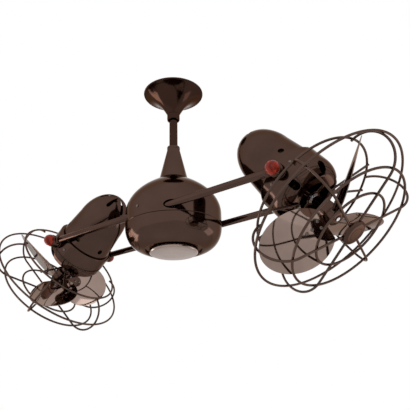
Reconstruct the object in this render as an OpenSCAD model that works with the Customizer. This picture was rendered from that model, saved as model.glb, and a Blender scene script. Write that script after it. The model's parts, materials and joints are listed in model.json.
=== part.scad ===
// Twin head ceiling fan: a passive turntable hangs under the ceiling on a downrod and carries
// two parallel bars; a motor head with a caged three-blade fan tilts between the bars at each end.
// Millimetres, +Z up, origin on the ceiling plane at the centre of the ceiling bracket.

/* [Ceiling mount] */
// Distance between the two ceiling screws
screw_spacing = 88.9; // [60:0.1:110]
// Width of a ceiling screw slot
slot_w = 5.2; // [4:0.1:7]
// Length of the straight part of a ceiling screw slot
slot_len = 6; // [2:0.5:9]
// Width of the bracket plate
bracket_w = 36; // [30:1:44]
// Thickness of the bracket plate
bracket_t = 3; // [2:0.5:5]
// Thickness of each bracket cheek
cheek_t = 3; // [2:0.5:5]
// Diameter of the hanger pin
pin_d = 6; // [4:0.5:8]

/* [Canopy] */
// Diameter of the canopy rim
canopy_d = 141; // [130:1:180]
// Overall height of the canopy
canopy_h = 73.5; // [64:0.5:90]
// Diameter of the canopy neck collar
neck_d = 29.6; // [28:0.1:34]
// Height of the canopy neck collar
neck_h = 16.5; // [10:0.5:22]
// Wall of the canopy
canopy_wall = 1.6; // [1:0.1:2.2]

/* [Downrod] */
// Outer diameter of the downrod
rod_d = 19; // [16:0.5:20]
// Wall of the downrod
rod_wall = 2; // [1.5:0.1:3]
// Distance from the ceiling to the top of the housing
drop = 229.5; // [215:0.5:600]

/* [Cone cover] */
// Diameter of the foot of the cone cover
cone_d = 66; // [62:0.5:72]
// Height of the cone cover
cone_h = 84.5; // [70:0.5:100]
// Diameter of the collar on top of the cone cover
collar_d = 29.5; // [26:0.5:34]
// Wall of the cone cover
cone_wall = 1.5; // [1:0.1:2.5]

/* [Housing] */
// Largest diameter of the housing
housing_d = 209; // [206:0.5:240]
// Height of the domed shoulder
dome_h = 82.5; // [76:0.5:95]
// Height of the straight band above the seam
band_h = 29; // [26:0.5:40]
// Height of the bowl below the seam
bowl_h = 52; // [46:0.5:64]
// Wall of both housing shells
housing_wall = 2; // [1.5:0.1:3]
// Diameter of the bottom cap
cap_d = 104; // [96:0.5:110]
// Height of the bottom cap
cap_h = 11.7; // [9:0.1:16]

/* [Turntable] */
// Diameter of the spindle
spindle_d = 20; // [18:0.5:21]
// Outer diameter of the ball bearings
bearing_d = 44; // [42:0.5:48]
// Width of a ball bearing
bearing_w = 12; // [9:0.5:14]
// Diameter of the balls
ball_d = 5.2; // [4:0.1:5.6]
// Number of balls in a bearing
ball_count = 10; // [6:1:14]

/* [Bars] */
// Diameter of a bar
bar_d = 14.5; // [12:0.5:16]
// Wall of a bar
bar_wall = 2; // [1.5:0.1:3]
// Diameter of the holes in the housing that the bars pass through
bar_hole_d = 20; // [17:0.5:21]
// Distance of each tilt axis from the middle of the fan
arm_reach = 301.7; // [290:0.1:360]

/* [Tilt joint] */
// Tilt of the right head below the horizontal
right_tilt = 51.1; // [-90:0.1:90]
// Tilt of the left head below the horizontal
left_tilt = 38; // [-90:0.1:90]
// Diameter of the hub at a bar end
hub_d = 28; // [26:0.5:32]
// Width of the hub at a bar end
hub_w = 20; // [18:0.5:24]
// Diameter of the pivot studs
stud_d = 10; // [8:0.5:12]
// Diameter of the wooden ball knobs
knob_d = 26.4; // [22:0.2:30]

/* [Motor head] */
// Distance from the tilt axis back to the tip of the shell
shell_back = 166; // [155:1:180]
// Length of the domed end of the shell
shell_dome = 80; // [70:1:90]
// Diameter of the shell where its dome begins
shell_back_d = 114; // [112:0.5:118]
// Diameter of the shell at its open end
shell_front_d = 124.8; // [122:0.2:127]
// Wall of the shell
shell_wall = 2; // [1.5:0.1:2.6]
// Diameter of the round holes in the side of the shell
side_hole_d = 12; // [6:0.5:16]
// Distance from the tilt axis back to the round holes
side_hole_back = 41; // [38:1:54]
// How far the front cover stands out from the shell
cover_step = 6.6; // [5:0.1:9]
// Distance from the tilt axis forward to the face of the front cover
cover_front = 45; // [42:0.5:50]
// Wall of the front cover
cover_wall = 2.5; // [2:0.1:3]
// Diameter of the opening in the face of the front cover
mouth_d = 66; // [58:1:70]
// Length of a vent in the shoulder of the cover
vent_len = 24; // [16:1:28]
// Width of a vent in the shoulder of the cover
vent_w = 15; // [8:1:16]
// Number of teardrop vents in the dome
dome_vents = 6; // [4:1:8]
// Diameter of the motor shaft
shaft_d = 8; // [6:0.5:10]
// Diameter of the rotor
rotor_d = 53; // [44:0.5:56]
// Length of the rotor and the stator core
core_len = 40; // [30:1:44]

/* [Blades] */
// Diameter over the blade tips
blade_span = 300; // [270:1:308]
// Width of a blade
blade_w = 112; // [90:1:120]
// Thickness of the blade sheet
blade_t = 1.5; // [1:0.1:2.5]
// Pitch of the blades
blade_pitch = 39; // [20:1:42]
// Radius of the curve rolled across a blade
blade_camber = 300; // [220:10:600]
// Distance from the tilt axis to the middle of the blades
blade_z = 95; // [92:0.5:102]
// Turn of the blades in the photographed pose
blade_turn = 95; // [0:1:120]

/* [Guard] */
// Diameter of the guard wire
wire_d = 4.5; // [3.5:0.1:5]
// Diameter of the rear ring to the middle of its wire
rear_ring_d = 251.4; // [240:0.2:262]
// Diameter of the largest ring to the middle of its wire
belly_ring_d = 330; // [322:1:350]
// Diameter of the front ring to the middle of its wire
front_ring_d = 247.4; // [220:0.2:260]
// Diameter of the inner ring to the middle of its wire
inner_ring_d = 150; // [110:1:180]
// Distance from the tilt axis to the rear ring
rear_ring_z = 46.2; // [42:0.1:52]
// Distance from the rear ring to the largest ring
belly_rise = 47.8; // [44:0.1:54]
// Distance from the largest ring to the front and inner rings
front_rise = 47.1; // [45:0.1:60]
// Turn of the right guard about its axis
right_guard_turn = 136; // [0:1:180]
// Turn of the left guard about its axis
left_guard_turn = 46; // [0:1:180]
// Number of guard spokes
spoke_count = 6; // [4:2:8]
// Diameter of the cap in the middle of the guard
guard_cap_d = 48; // [36:1:60]
// Height of the cap in the middle of the guard
guard_cap_h = 8; // [5:0.5:12]

/* [Hidden] */
$fn = 96;
fit = 0.05;         // radial clearance of a running fit
gap = 0.3;          // clearance between pieces that move past each other
big = 600;          // length of a cutter that goes right through

bronze = [0.33, 0.26, 0.23];
dark = [0.16, 0.13, 0.12];
steel = [0.62, 0.62, 0.63];
copper = [0.72, 0.45, 0.28];
wood = [0.55, 0.16, 0.08];

// Heights, from the ceiling down
z_top = -drop;                          // top of the housing
z_shoulder = z_top - dome_h;            // foot of the domed shoulder
z_seam = z_shoulder - band_h;           // joint between the two shells
z_lip = z_seam - bowl_h;                // lowest edge of the bowl
top_t = 3;                              // thickness of the flat ring on top of the housing
bar_z = z_seam + bar_d / 2 + 6.55;      // middle of the bars and of both tilt axes
hub_bottom = bar_z - 33;                // lower end of the carrier's hub
housing_r = housing_d / 2;
cover_r = shell_front_d / 2 + cover_step;
hub_in = cover_r + 3;                   // inner face of the hubs at the bar ends
hub_out = hub_in + hub_w;
bar_y = hub_in + hub_w / 2;             // the bars end in the middle of the hubs

function bez3(a, b, c, n) =
  [for (i = [0:n]) let (t = i / n) (1 - t) * (1 - t) * a + 2 * t * (1 - t) * b + t * t * c];
function bez4(a, b, c, d, n) =
  [for (i = [0:n]) let (t = i / n, s = 1 - t)
    s * s * s * a + 3 * s * s * t * b + 3 * s * t * t * c + t * t * t * d];
function turned(list) = [for (i = [len(list) - 1:-1:0]) list[i]];

// A ring or tube from radius r1 to radius r2 between two heights
module tube(r1, r2, z1, z2) {
  translate([0, 0, z1])
    difference() {
      cylinder(h = z2 - z1, r = r2);
      translate([0, 0, -1])
        cylinder(h = z2 - z1 + 2, r = r1);
    }
}

// A box from its lower to its upper corner
module block(a, b) {
  translate(a)
    cube(b - a);
}

// ---------------------------------------------------------------- ceiling mount and canopy

cheek_gap = rod_d + 1;                  // space between the cheeks for the rod
cheek_h = 30;                           // how far the cheeks reach down
pin_z = -20;                            // middle of the hanger pin
rod_top = -9;                           // upper end of the rod
bracket_len = screw_spacing + slot_len + slot_w + 10;

module ceiling_bracket() {
  color(steel)
    difference() {
      union() {
        block([-bracket_len / 2, -bracket_w / 2, -bracket_t], [bracket_len / 2, bracket_w / 2, 0]);
        for (s = [-1, 1])
          translate([0, s * (cheek_gap + cheek_t) / 2, 0])
            block([-12, -cheek_t / 2, -cheek_h], [12, cheek_t / 2, -bracket_t / 2]);
      }
      for (s = [-1, 1])
        translate([s * screw_spacing / 2, 0, -bracket_t - 1])
          linear_extrude(bracket_t + 2) {
            square([slot_len, slot_w], center = true);
            for (e = [-1, 1])
              translate([e * slot_len / 2, 0])
                circle(d = slot_w);
          }
      translate([0, 0, -bracket_t - 1])
        cylinder(h = bracket_t + 2, d = 14);
      translate([0, 0, pin_z])
        rotate([90, 0, 0])
          cylinder(h = big, d = pin_d, center = true);
    }
}

pin_out = cheek_gap / 2 + cheek_t;      // outer face of a cheek

module hanger_pin() {
  color(steel)
    translate([0, 0, pin_z])
      rotate([90, 0, 0]) {
        translate([0, 0, -pin_out - 6])
          cylinder(h = 2 * pin_out + 6, d = pin_d);
        translate([0, 0, pin_out])
          cylinder(h = 3, d = pin_d + 4);
      }
}

canopy_r = canopy_d / 2;
neck_r = neck_d / 2;
neck_top = -canopy_h + neck_h;          // where the bell meets the collar
neck_bore = rod_d / 2 + 2.2;            // the dark gap round the rod

module canopy() {
  bell = bez3([canopy_r - 2.5, -3], [neck_r + 19, -16], [neck_r, neck_top], 16);
  bell_in = bez3([canopy_r - 2.5 - canopy_wall, -1.5], [neck_r + 18.5 - canopy_wall, -16 + canopy_wall],
                 [neck_r - canopy_wall, neck_top + canopy_wall], 16);
  color(bronze)
    difference() {
      rotate_extrude()
        polygon(concat(
          [[canopy_r - canopy_wall, 0], [canopy_r, 0], [canopy_r, -2], [canopy_r - 1, -3]],
          bell,
          [[neck_r, -canopy_h + 3], [neck_r - 0.9, -canopy_h + 0.9], [neck_r - 2.5, -canopy_h],
           [neck_bore, -canopy_h], [neck_bore, neck_top + canopy_wall]],
          turned(bell_in)
        ));
      grub(neck_grub_z, big / 8);
    }
}

cone_foot = z_top + 0.8;                // the cone stands clear of the turning housing
cone_top = cone_foot + cone_h;
collar_h = 7;                           // height of the collar on the cone
socket_h = 43.5;                        // height of the spindle's socket
socket_depth = 28;                      // how deep the rod stands in it
coupling_top = z_top + socket_h;
coupling_d = 28;                        // outer diameter of the socket
grub_d = 4;                             // diameter of a grub screw
cone_grub_z = cone_top - collar_h / 2 - 0.5;
neck_grub_z = -canopy_h + neck_h * 0.62;
coupling_grub_z = coupling_top - 12;

// Three grub screws behind the rod: canopy neck, cone collar and spindle socket
module set_screws() {
  color(dark) {
    grub(neck_grub_z, neck_r + 0.6);
    grub(cone_grub_z, collar_d / 2 + 0.4);
    grub(coupling_grub_z, coupling_d / 2);
  }
}

module grub(z, r) {
  translate([0, rod_d / 2, z])
    rotate([-90, 0, 0])
      cylinder(h = r - rod_d / 2, d = grub_d);
}

rod_end = coupling_top - socket_depth;  // lower end of the rod, inside the socket

module downrod() {
  color(bronze)
    difference() {
      tube(rod_d / 2 - rod_wall, rod_d / 2, rod_end, rod_top);
      translate([0, 0, pin_z])
        rotate([90, 0, 0])
          cylinder(h = big, d = pin_d, center = true);
    }
}

module cone_cover() {
  r1 = collar_d / 2;
  r2 = cone_d / 2;
  bore = rod_d / 2 + 0.1;
  color(bronze)
    difference() {
      rotate_extrude()
        polygon([
          [bore, cone_top], [r1 - 1.6, cone_top], [r1 - 0.5, cone_top - 0.5], [r1, cone_top - 1.6],
          [r1, cone_top - collar_h], [r2, cone_foot], [r2 - cone_wall, cone_foot],
          [r1 - cone_wall, cone_top - collar_h - 2], [bore, cone_top - collar_h - 2]
        ]);
      grub(cone_grub_z, big / 8);
    }
}

// ---------------------------------------------------------------- spindle, bearings, slip rings

spindle_r = spindle_d / 2;
bearing_r = bearing_d / 2;
pitch_r = (spindle_r + bearing_r) / 2;  // radius of the circle of balls
upper_bearing_z = z_top - top_t - 15;   // lower face of the upper bearing
lower_bearing_z = hub_bottom + 2;       // lower face of the lower bearing
nut_h = 9;
spindle_end = lower_bearing_z - nut_h - 5;
wire_bore = 8;                          // bore for the supply wires

module spindle() {
  color(steel)
    difference() {
      rotate_extrude()
        polygon([
          [wire_bore / 2, rod_end], [rod_d / 2, rod_end],
          [rod_d / 2, coupling_top], [coupling_d / 2, coupling_top], [coupling_d / 2, z_top + 1.5],
          [spindle_r + 2, z_top + 1.5], [spindle_r + 2, upper_bearing_z + bearing_w],
          [spindle_r, upper_bearing_z + bearing_w], [spindle_r, spindle_end],
          [wire_bore / 2, spindle_end]
        ]);
      grub(coupling_grub_z, big / 8);
    }
}

module spindle_nut() {
  color(steel)
    difference() {
      union() {
        translate([0, 0, lower_bearing_z - nut_h])
          cylinder(h = nut_h - 2, r = spindle_r + 5, $fn = 6);
        translate([0, 0, lower_bearing_z - 2])
          cylinder(h = 2, r = pitch_r - ball_d / 2 - 0.4);
      }
      translate([0, 0, lower_bearing_z - big / 2])
        cylinder(h = big, r = spindle_r);
    }
}

module bearing_inner_races() {
  color(steel)
    for (z = [upper_bearing_z, lower_bearing_z])
      tube(spindle_r, pitch_r - ball_d / 2 - fit, z, z + bearing_w);
}

module bearing_outer_races() {
  color(steel)
    for (z = [upper_bearing_z, lower_bearing_z]) {
      tube(pitch_r + ball_d / 2 + fit, bearing_r, z, z + bearing_w);
      for (i = [0:ball_count - 1])
        rotate([0, 0, i * 360 / ball_count])
          translate([pitch_r, 0, z + bearing_w / 2])
            sphere(d = ball_d, $fn = 32);
    }
}

drum_top = upper_bearing_z - 22;        // upper end of the slip ring drum
drum_h = 30;
drum_r = spindle_r + 5;
track_w = 5;                            // width of one slip ring track
track_r = drum_r + 1.5;
track_z = [for (i = [-1:1]) drum_top - drum_h / 2 + i * 9];

module slip_ring() {
  color(dark)
    tube(spindle_r, drum_r, drum_top - drum_h, drum_top);
  color(copper)
    for (z = track_z)
      tube(drum_r, track_r, z - track_w / 2, z + track_w / 2);
}

// ---------------------------------------------------------------- turntable

carrier_r = bearing_r + 4;              // outside of the carrier's hub
carrier_bore = bearing_r - 2;           // bore between the two bearing seats
flange_r = bearing_r + 8;               // flange under the top of the housing
arm_x = 24;                             // half width of the cross arm
arm_top = bar_z + 12;
arm_end = bar_y + 14;
window = 9.3;                           // half width of the brush window
post_at = carrier_r + 6;                // radius of the posts that hold the lower shell
side_screw_turn = -95.3;                // where the screws through the band stand
side_screw_z = bar_z + 7.6;
brush_top = drum_top - 1.5;
brush_bottom = drum_top - drum_h + 1.5;
carrier_top = z_top - top_t;

module carrier() {
  color(steel)
    difference() {
      union() {
        translate([0, 0, hub_bottom])
          cylinder(h = carrier_top - hub_bottom, r = carrier_r);
        translate([0, 0, carrier_top - 5])
          cylinder(h = 5, r = flange_r);
        block([-arm_x, -arm_end, bar_z], [arm_x, arm_end, arm_top]);
        translate([0, 0, hub_bottom])
          cylinder(h = 5, r = post_at + 6);
        at_base_screws()
          cylinder(h = hub_bottom - pan_z - housing_wall + 1, r = 5);
      }
      translate([0, 0, hub_bottom - 1])
        cylinder(h = big, r = carrier_bore);
      translate([0, 0, upper_bearing_z])
        cylinder(h = big, r = bearing_r);
      translate([0, 0, hub_bottom - 1])
        cylinder(h = lower_bearing_z + bearing_w - hub_bottom + 1, r = bearing_r);
      bar_cutters(bar_d / 2);
      block([0, -window, brush_bottom - gap], [carrier_r + 5, window, brush_top + gap]);
      clamp_screw_shanks();
      top_screw_shanks();
      base_screw_shanks();
      side_screw_shanks();
    }
}

// Cylinders along both bars
module bar_cutters(r) {
  for (s = [-1, 1])
    translate([0, s * bar_y, bar_z])
      rotate([0, 90, 0])
        cylinder(h = big, r = r, center = true);
}

clamp_x = 20;                           // half length of a bar clamp
clamp_t = bar_d / 2 + 4;                // thickness of a bar clamp
screw_d = 4;
screw_head_d = 7.5;
screw_head_h = 2.5;
clamp_screw_x = clamp_x - 5;
clamp_screw_y = bar_d / 2 + 3.4;        // clamp screws stand clear of the bar

module bar_clamps() {
  color(steel)
    difference() {
      for (s = [-1, 1])
        translate([0, s * bar_y, 0])
          block([-clamp_x, -14, bar_z - clamp_t], [clamp_x, 14, bar_z - gap]);
      bar_cutters(bar_d / 2);
      clamp_screw_shanks();
    }
}

module at_clamp_screws() {
  for (sx = [-1, 1], sy = [-1, 1], e = [-1, 1])
    translate([sx * clamp_screw_x, sy * bar_y + e * clamp_screw_y, bar_z - clamp_t])
      children();
}

module at_top_screws() {
  for (a = [0, 120, 240])
    rotate([0, 0, a + 30])
      translate([bearing_r + 4, 0, z_top])
        children();
}

module clamp_screw_shanks() {
  at_clamp_screws()
    cylinder(h = clamp_t + 9, d = screw_d);
}

module top_screw_shanks() {
  at_top_screws()
    translate([0, 0, -top_t - 4])
      cylinder(h = top_t + 4, d = screw_d - 1);
}

// Places for the screws that hold the lower shell, on top of its pan
module at_base_screws() {
  for (a = [0, 120, 240])
    rotate([0, 0, a + 90])
      translate([post_at, 0, pan_z + housing_wall])
        children();
}

module base_screw_shanks() {
  at_base_screws()
    translate([0, 0, -housing_wall])
      cylinder(h = 14, d = screw_d);
}

// Places for the two screws through the band, outward from its face
module at_side_screws() {
  for (a = [0, 180])
    rotate([0, 0, a + side_screw_turn])
      translate([housing_r, 0, side_screw_z])
        rotate([0, 90, 0])
          children();
}

module side_screw_shanks() {
  at_side_screws()
    translate([0, 0, arm_end - 8 - housing_r])
      cylinder(h = housing_r - arm_end + 8, d = screw_d);
}

// Screws of the bar clamps, and those that hold both shells to the carrier
module housing_screws() {
  color(steel) {
    clamp_screw_shanks();
    at_clamp_screws()
      translate([0, 0, -screw_head_h])
        cylinder(h = screw_head_h, d = screw_head_d);
    top_screw_shanks();
    at_top_screws()
      cylinder(h = screw_head_h, d = screw_head_d - 1);
    base_screw_shanks();
    at_base_screws()
      translate([0, 0, -housing_wall - screw_head_h])
        cylinder(h = screw_head_h, d = screw_head_d);
    side_screw_shanks();
    at_side_screws()
      cylinder(h = 1.2, d = screw_head_d - 2);
  }
}

brush_gap = 0.15;                       // the brush tips just clear the tracks

module brush_block() {
  color(dark)
    difference() {
      union() {
        block([drum_r + 4, -window + gap, brush_bottom], [carrier_r + 12, window - gap, brush_top]);
        block([carrier_r, -window - 6, brush_bottom], [carrier_r + 5, window + 6, brush_top]);
      }
      translate([0, 0, brush_bottom - 1])
        cylinder(h = drum_h, r = track_r + 1.5);
    }
  color(copper)
    for (z = track_z)
      block([track_r + brush_gap, -2, z - 2], [track_r + 1.5, 2, z + 2]);
}

flat_r = cone_d / 2;                    // radius of the flat ring on top of the housing
lip_h = 3;                              // height of the lower shell's lip above the seam

module upper_shell() {
  w = housing_wall;
  dome = bez4([flat_r, z_top], [flat_r + 15, z_top - 10.5], [housing_r - 0.5, z_top - 34.5],
              [housing_r, z_shoulder], 20);
  dome_in = bez4([flat_r, z_top - top_t], [flat_r + 14, z_top - 10.5 - w],
                 [housing_r - 0.5 - w, z_top - 34.5 - w], [housing_r - w, z_shoulder], 20);
  color(bronze)
    difference() {
      rotate_extrude()
        polygon(concat(
          [[carrier_bore, z_top]], dome, [[housing_r, z_seam], [housing_r - w, z_seam]],
          turned(dome_in), [[carrier_bore, z_top - top_t]]
        ));
      bar_cutters(bar_hole_d / 2);
      top_screw_shanks();
      side_screw_shanks();
    }
}

lip_r = cap_d / 2 + 14;                 // outer edge of the ring round the bottom cap
lip_in = cap_d / 2 + 9;                 // inner edge of that ring
floor_z = z_lip + 4;                    // underside of the recessed floor
plug_r = cap_d / 2 - 6;                 // radius of the plug on the cap
pan_z = floor_z + 7;                    // underside of the pan that the cap covers
pan_hole = 14;                          // radius of the hole in the pan

module lower_shell() {
  w = housing_wall;
  bowl = bez4([housing_r, z_seam], [housing_r - 0.5, z_seam - 31], [lip_r + 22, z_lip + 5],
              [lip_r, z_lip], 18);
  bowl_in = bez4([housing_r - w, z_seam], [housing_r - 0.5 - w, z_seam - 30],
                 [lip_r + 21, z_lip + 5 + w], [lip_r, z_lip + w + 4], 18);
  color(bronze)
    difference() {
      rotate_extrude()
        polygon(concat(
          bowl, [[lip_in, z_lip], [lip_in, floor_z], [plug_r + gap, floor_z],
                 [plug_r + gap, pan_z], [pan_hole, pan_z], [pan_hole, pan_z + w],
                 [plug_r + gap + w, pan_z + w], [plug_r + gap + w, floor_z + w]],
          turned(bowl_in),
          [[housing_r - w, z_seam - 5], [housing_r - w - 2, z_seam - 5],
           [housing_r - w - 2, z_seam + lip_h], [housing_r - w - fit, z_seam + lip_h],
           [housing_r - w - fit, z_seam]]
        ));
      base_screw_shanks();
    }
}

module bottom_cap() {
  r = cap_d / 2;
  low = floor_z - cap_h;
  color(bronze)
    rotate_extrude()
      polygon([
        [0, low], [r - 3, low], [r - 0.9, low + 0.9], [r, low + 3], [r, floor_z], [plug_r, floor_z],
        [plug_r, floor_z + 5], [plug_r - 2, floor_z + 5], [plug_r - 2, floor_z - 2],
        [r - 2, floor_z - 2], [r - 2, low + 3], [r - 4, low + 2], [0, low + 2]
      ]);
}

bar_end = arm_reach - stud_d / 2 - 2;   // bars stop short of the pivot studs

module bar(side) {
  color(bronze)
    translate([0, side * bar_y, bar_z])
      rotate([0, 90, 0])
        tube(bar_d / 2 - bar_wall, bar_d / 2, -bar_end, bar_end);
}

module bar_hubs(side) {
  color(dark)
    difference() {
      for (s = [-1, 1])
        translate([side * arm_reach, s * hub_in, bar_z])
          rotate([-s * 90, 0, 0])
            cylinder(h = hub_w, d = hub_d);
      translate([side * arm_reach, 0, bar_z])
        rotate([90, 0, 0])
          cylinder(h = big, r = stud_d / 2 + fit, center = true);
      for (s = [-1, 1])
        translate([side > 0 ? 0 : -bar_end, s * bar_y, bar_z])
          rotate([0, 90, 0])
            cylinder(h = bar_end, d = bar_d);
    }
}

// ---------------------------------------------------------------- motor heads

// Puts a head, drawn along +Z from its tilt axis, in its place and tilt
module place_head(side) {
  translate([side * arm_reach, 0, bar_z])
    rotate([0, side * (90 + (side > 0 ? right_tilt : left_tilt)), 0])
      children();
}

shell_z = -shell_back + shell_dome;     // where the dome of the shell begins
shell_end = 6;                          // open end of the shell, inside the cover
core_z = -75;                           // rear face of the stator core
stator_r = min(shell_back_d, shell_front_d) / 2 - 2.5;
rear_bearing_z = -120;                  // rear face of the rear bearing
bearing_od = 22;
bearing_len = 8;
front_bearing_z = cover_front - 9;

// Half of the shell's section, drawn in by w
function shell_line(w) = concat(
  [for (a = [0:5:85]) [(shell_back_d / 2 - w) * sin(a), shell_z - (shell_dome - w) * cos(a)]],
  [[shell_back_d / 2 - w, shell_z], [shell_front_d / 2 - w, cover_back - 3],
   [shell_front_d / 2 - w, shell_end]]
);

module head_shell() {
  color(bronze)
    difference() {
      union() {
        rotate_extrude()
          polygon(concat(shell_line(0), turned(shell_line(shell_wall))));
        bulkhead();
        for (a = [45:90:315])
          rotate([0, 0, a])
            block([stator_r, -5, core_z], [stator_r + 3, 5, core_z + core_len]);
      }
      for (i = [0:dome_vents - 1])
        rotate([0, 0, i * 360 / dome_vents])
          teardrop_cutter();
      for (i = [0:5])
        rotate([0, 0, i * 60])
          translate([shell_front_d / 2 - 10, 0, -side_hole_back])
            rotate([0, 90, 0])
              cylinder(h = 20, d = side_hole_d);
      rotate([90, 0, 0])
        cylinder(h = big, d = hub_d - 1, center = true);
      cover_screw_shanks();
    }
}

// Wall with four round openings that carries the rear bearing
module bulkhead() {
  z = rear_bearing_z + 6;
  difference() {
    union() {
      translate([0, 0, z])
        cylinder(h = 3, r = shell_back_d / 2 * sqrt(1 - pow((shell_z - z) / shell_dome, 2)) - 1);
      translate([0, 0, rear_bearing_z - 2])
        cylinder(h = bearing_len + 4, r = bearing_od / 2 + 4);
    }
    translate([0, 0, rear_bearing_z])
      cylinder(h = 40, d = bearing_od);
    translate([0, 0, rear_bearing_z - 10])
      cylinder(h = 40, d = shaft_d + 3);
    for (a = [0:90:270])
      rotate([0, 0, a])
        translate([32, 0, z - 1])
          cylinder(h = 5, d = 20);
  }
}

// Wide round end outward, narrow end near the pole
module teardrop_cutter() {
  wide = 4.6;
  narrow = 1.4;
  translate([0, 0, -shell_back - 1])
    linear_extrude(shell_dome * 0.5) {
      translate([36, 0])
        circle(r = wide);
      translate([9, 0])
        circle(r = narrow);
      polygon([[9, -narrow], [36, -wide], [36, wide], [9, narrow]]);
    }
}

cover_back = -23;                       // rear edge of the front cover
cover_round = 14;                       // where the cover begins to round in
face_r = cover_r - 23;                  // outer edge of the cover's flat face
strut_r = (face_r + mouth_d / 2) / 2;   // radius of the strut screws

// Quarter ellipse from the side of the cover to its face, drawn in by w
function cover_line(w) = [
  for (a = [0:9:90])
    [face_r + (cover_r - w - face_r) * cos(a), cover_round + (cover_front - w - cover_round) * sin(a)]
];

module front_cover(turn) {
  w = cover_wall;
  color(bronze)
    difference() {
      union() {
        rotate_extrude()
          polygon(concat(
            [[shell_front_d / 2, cover_back], [cover_r - 1.5, cover_back], [cover_r, cover_back + 1.5]],
            cover_line(0),
            [[mouth_d / 2, cover_front], [mouth_d / 2, cover_front - w]],
            turned(cover_line(w)),
            [[cover_r - w, cover_back + 5], [shell_front_d / 2, cover_back + 5]]
          ));
        spider();
        for (s = [-1, 1])
          rotate([-s * 90, 0, 0])
            translate([0, 0, cover_r - 11])
              cylinder(h = 11 + 3 - gap, d = hub_d - 2);
      }
      for (i = [0:5])
        rotate([0, 0, 30 + i * 60])
          translate([(cover_r + face_r) / 2 + 3, 0, cover_front - 11])
            rotate([0, 50, 0])
              slot_cutter(vent_w, vent_len - vent_w);
      rotate([90, 0, 0])
        cylinder(h = big, d = stud_d, center = true);
      cylinder(h = big, d = shaft_d + 3, center = true);
      translate([0, 0, front_bearing_z])
        cylinder(h = 30, d = bearing_od);
      strut_screw_shanks(turn);
      cover_screw_shanks();
    }
}

// Four arms and the boss of the front bearing
module spider() {
  translate([0, 0, front_bearing_z - 4])
    cylinder(h = cover_front - front_bearing_z + 4, r = bearing_od / 2 + 4);
  for (a = [0:90:270])
    rotate([0, 0, a])
      block([bearing_od / 2 + 2, -4, cover_front - 8], [mouth_d / 2 + 1, 4, cover_front - 1]);
}

// A slot w wide with a straight part of length s, along X
module slot_cutter(w, s) {
  linear_extrude(40, center = true) {
    square([s, w], center = true);
    for (e = [-1, 1])
      translate([e * s / 2, 0])
        circle(d = w);
  }
}

// Places for the four screws beside the pivots, outward from the cover's side
module at_cover_screws() {
  for (a = [68, 112, 248, 292])
    rotate([0, 0, a])
      translate([cover_r, 0, -1])
        rotate([0, 90, 0])
          children();
}

module cover_screw_shanks() {
  at_cover_screws()
    translate([0, 0, -cover_step - 4])
      cylinder(h = cover_step + 4, d = screw_d - 1);
}

eye_h = wire_d;                         // thickness of a strut's eye
strut_head_z = cover_front + eye_h;     // under the head of a strut screw

module strut_screw_shanks(turn) {
  for (a = [0, 180])
    rotate([0, 0, turn + a])
      translate([strut_r, 0, cover_front - 7])
        cylinder(h = eye_h + 7, d = screw_d);
}

// Two strut screws and four screws round the cover
module head_screws(turn) {
  color(steel) {
    strut_screw_shanks(turn);
    for (a = [0, 180])
      rotate([0, 0, turn + a])
        translate([strut_r, 0, strut_head_z])
          cylinder(h = screw_head_h, d = screw_head_d);
    cover_screw_shanks();
    at_cover_screws()
      cylinder(h = 1.2, d = screw_head_d - 2);
  }
}

module stator() {
  coil_in = rotor_d / 2 + 6;
  coil_out = stator_r - 7;
  color(steel)
    tube(rotor_d / 2 + 0.5, stator_r, core_z, core_z + core_len);
  color(copper)
    for (z = [core_z - 10, core_z + core_len])
      translate([0, 0, z])
        rotate_extrude()
          polygon([
            [coil_in, 0], [coil_in + 2, 0], [coil_out - 2, 0], [coil_out, 2], [coil_out, 8],
            [coil_out - 2, 10], [coil_in + 2, 10], [coil_in, 8]
          ]);
}

module rotor() {
  color(steel)
    tube(shaft_d / 2, rotor_d / 2, core_z, core_z + core_len);
}

hub_z = blade_z - 22;                   // rear face of the blade hub
hub_front = blade_z + 14;
hub_r = 17;

module motor_shaft() {
  color(steel)
    translate([0, 0, rear_bearing_z - 3])
      cylinder(h = hub_front + 4 - rear_bearing_z, d = shaft_d);
}

module bearings() {
  color(steel)
    for (z = [rear_bearing_z, front_bearing_z]) {
      tube(shaft_d / 2 + fit, shaft_d / 2 + 2.2, z, z + bearing_len);
      tube(shaft_d / 2 + 2.3, bearing_od / 2 - 2.3, z + 0.5, z + bearing_len - 0.5);
      tube(bearing_od / 2 - 2.2, bearing_od / 2, z, z + bearing_len);
    }
}

// Puts a shape drawn along +X on the pitched plane of blade number i
module on_blade(i) {
  translate([0, 0, blade_z])
    rotate([0, 0, blade_turn + i * 120])
      rotate([blade_pitch, 0, 0])
        children();
}

iron_t = 3;                             // thickness of a blade iron
iron_w = 26;                            // width of a blade iron
iron_end = 64;                          // reach of a blade iron

module blade_hub() {
  color(dark)
    difference() {
      union() {
        translate([0, 0, hub_z])
          cylinder(h = hub_front - hub_z, r = hub_r);
        translate([0, 0, cover_front + 4])
          cylinder(h = hub_z - cover_front - 4, r = 9);
        for (i = [0:2])
          on_blade(i) {
            block([5, -iron_w / 2, -blade_t / 2 - iron_t],
                  [iron_end - iron_w / 2, iron_w / 2, -blade_t / 2]);
            translate([iron_end - iron_w / 2, 0, -blade_t / 2 - iron_t])
              cylinder(h = iron_t, d = iron_w);
          }
      }
      cylinder(h = big, d = shaft_d, center = true);
      rivet_shanks();
    }
}

rivet_d = 4;

module at_rivets() {
  for (i = [0:2], p = [[30, -7], [30, 7], [46, 0], [58, 0]])
    on_blade(i)
      translate([p[0], p[1], 0])
        children();
}

module rivet_shanks() {
  at_rivets()
    cylinder(h = 2 * (blade_t / 2 + iron_t), d = rivet_d, center = true);
}

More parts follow.
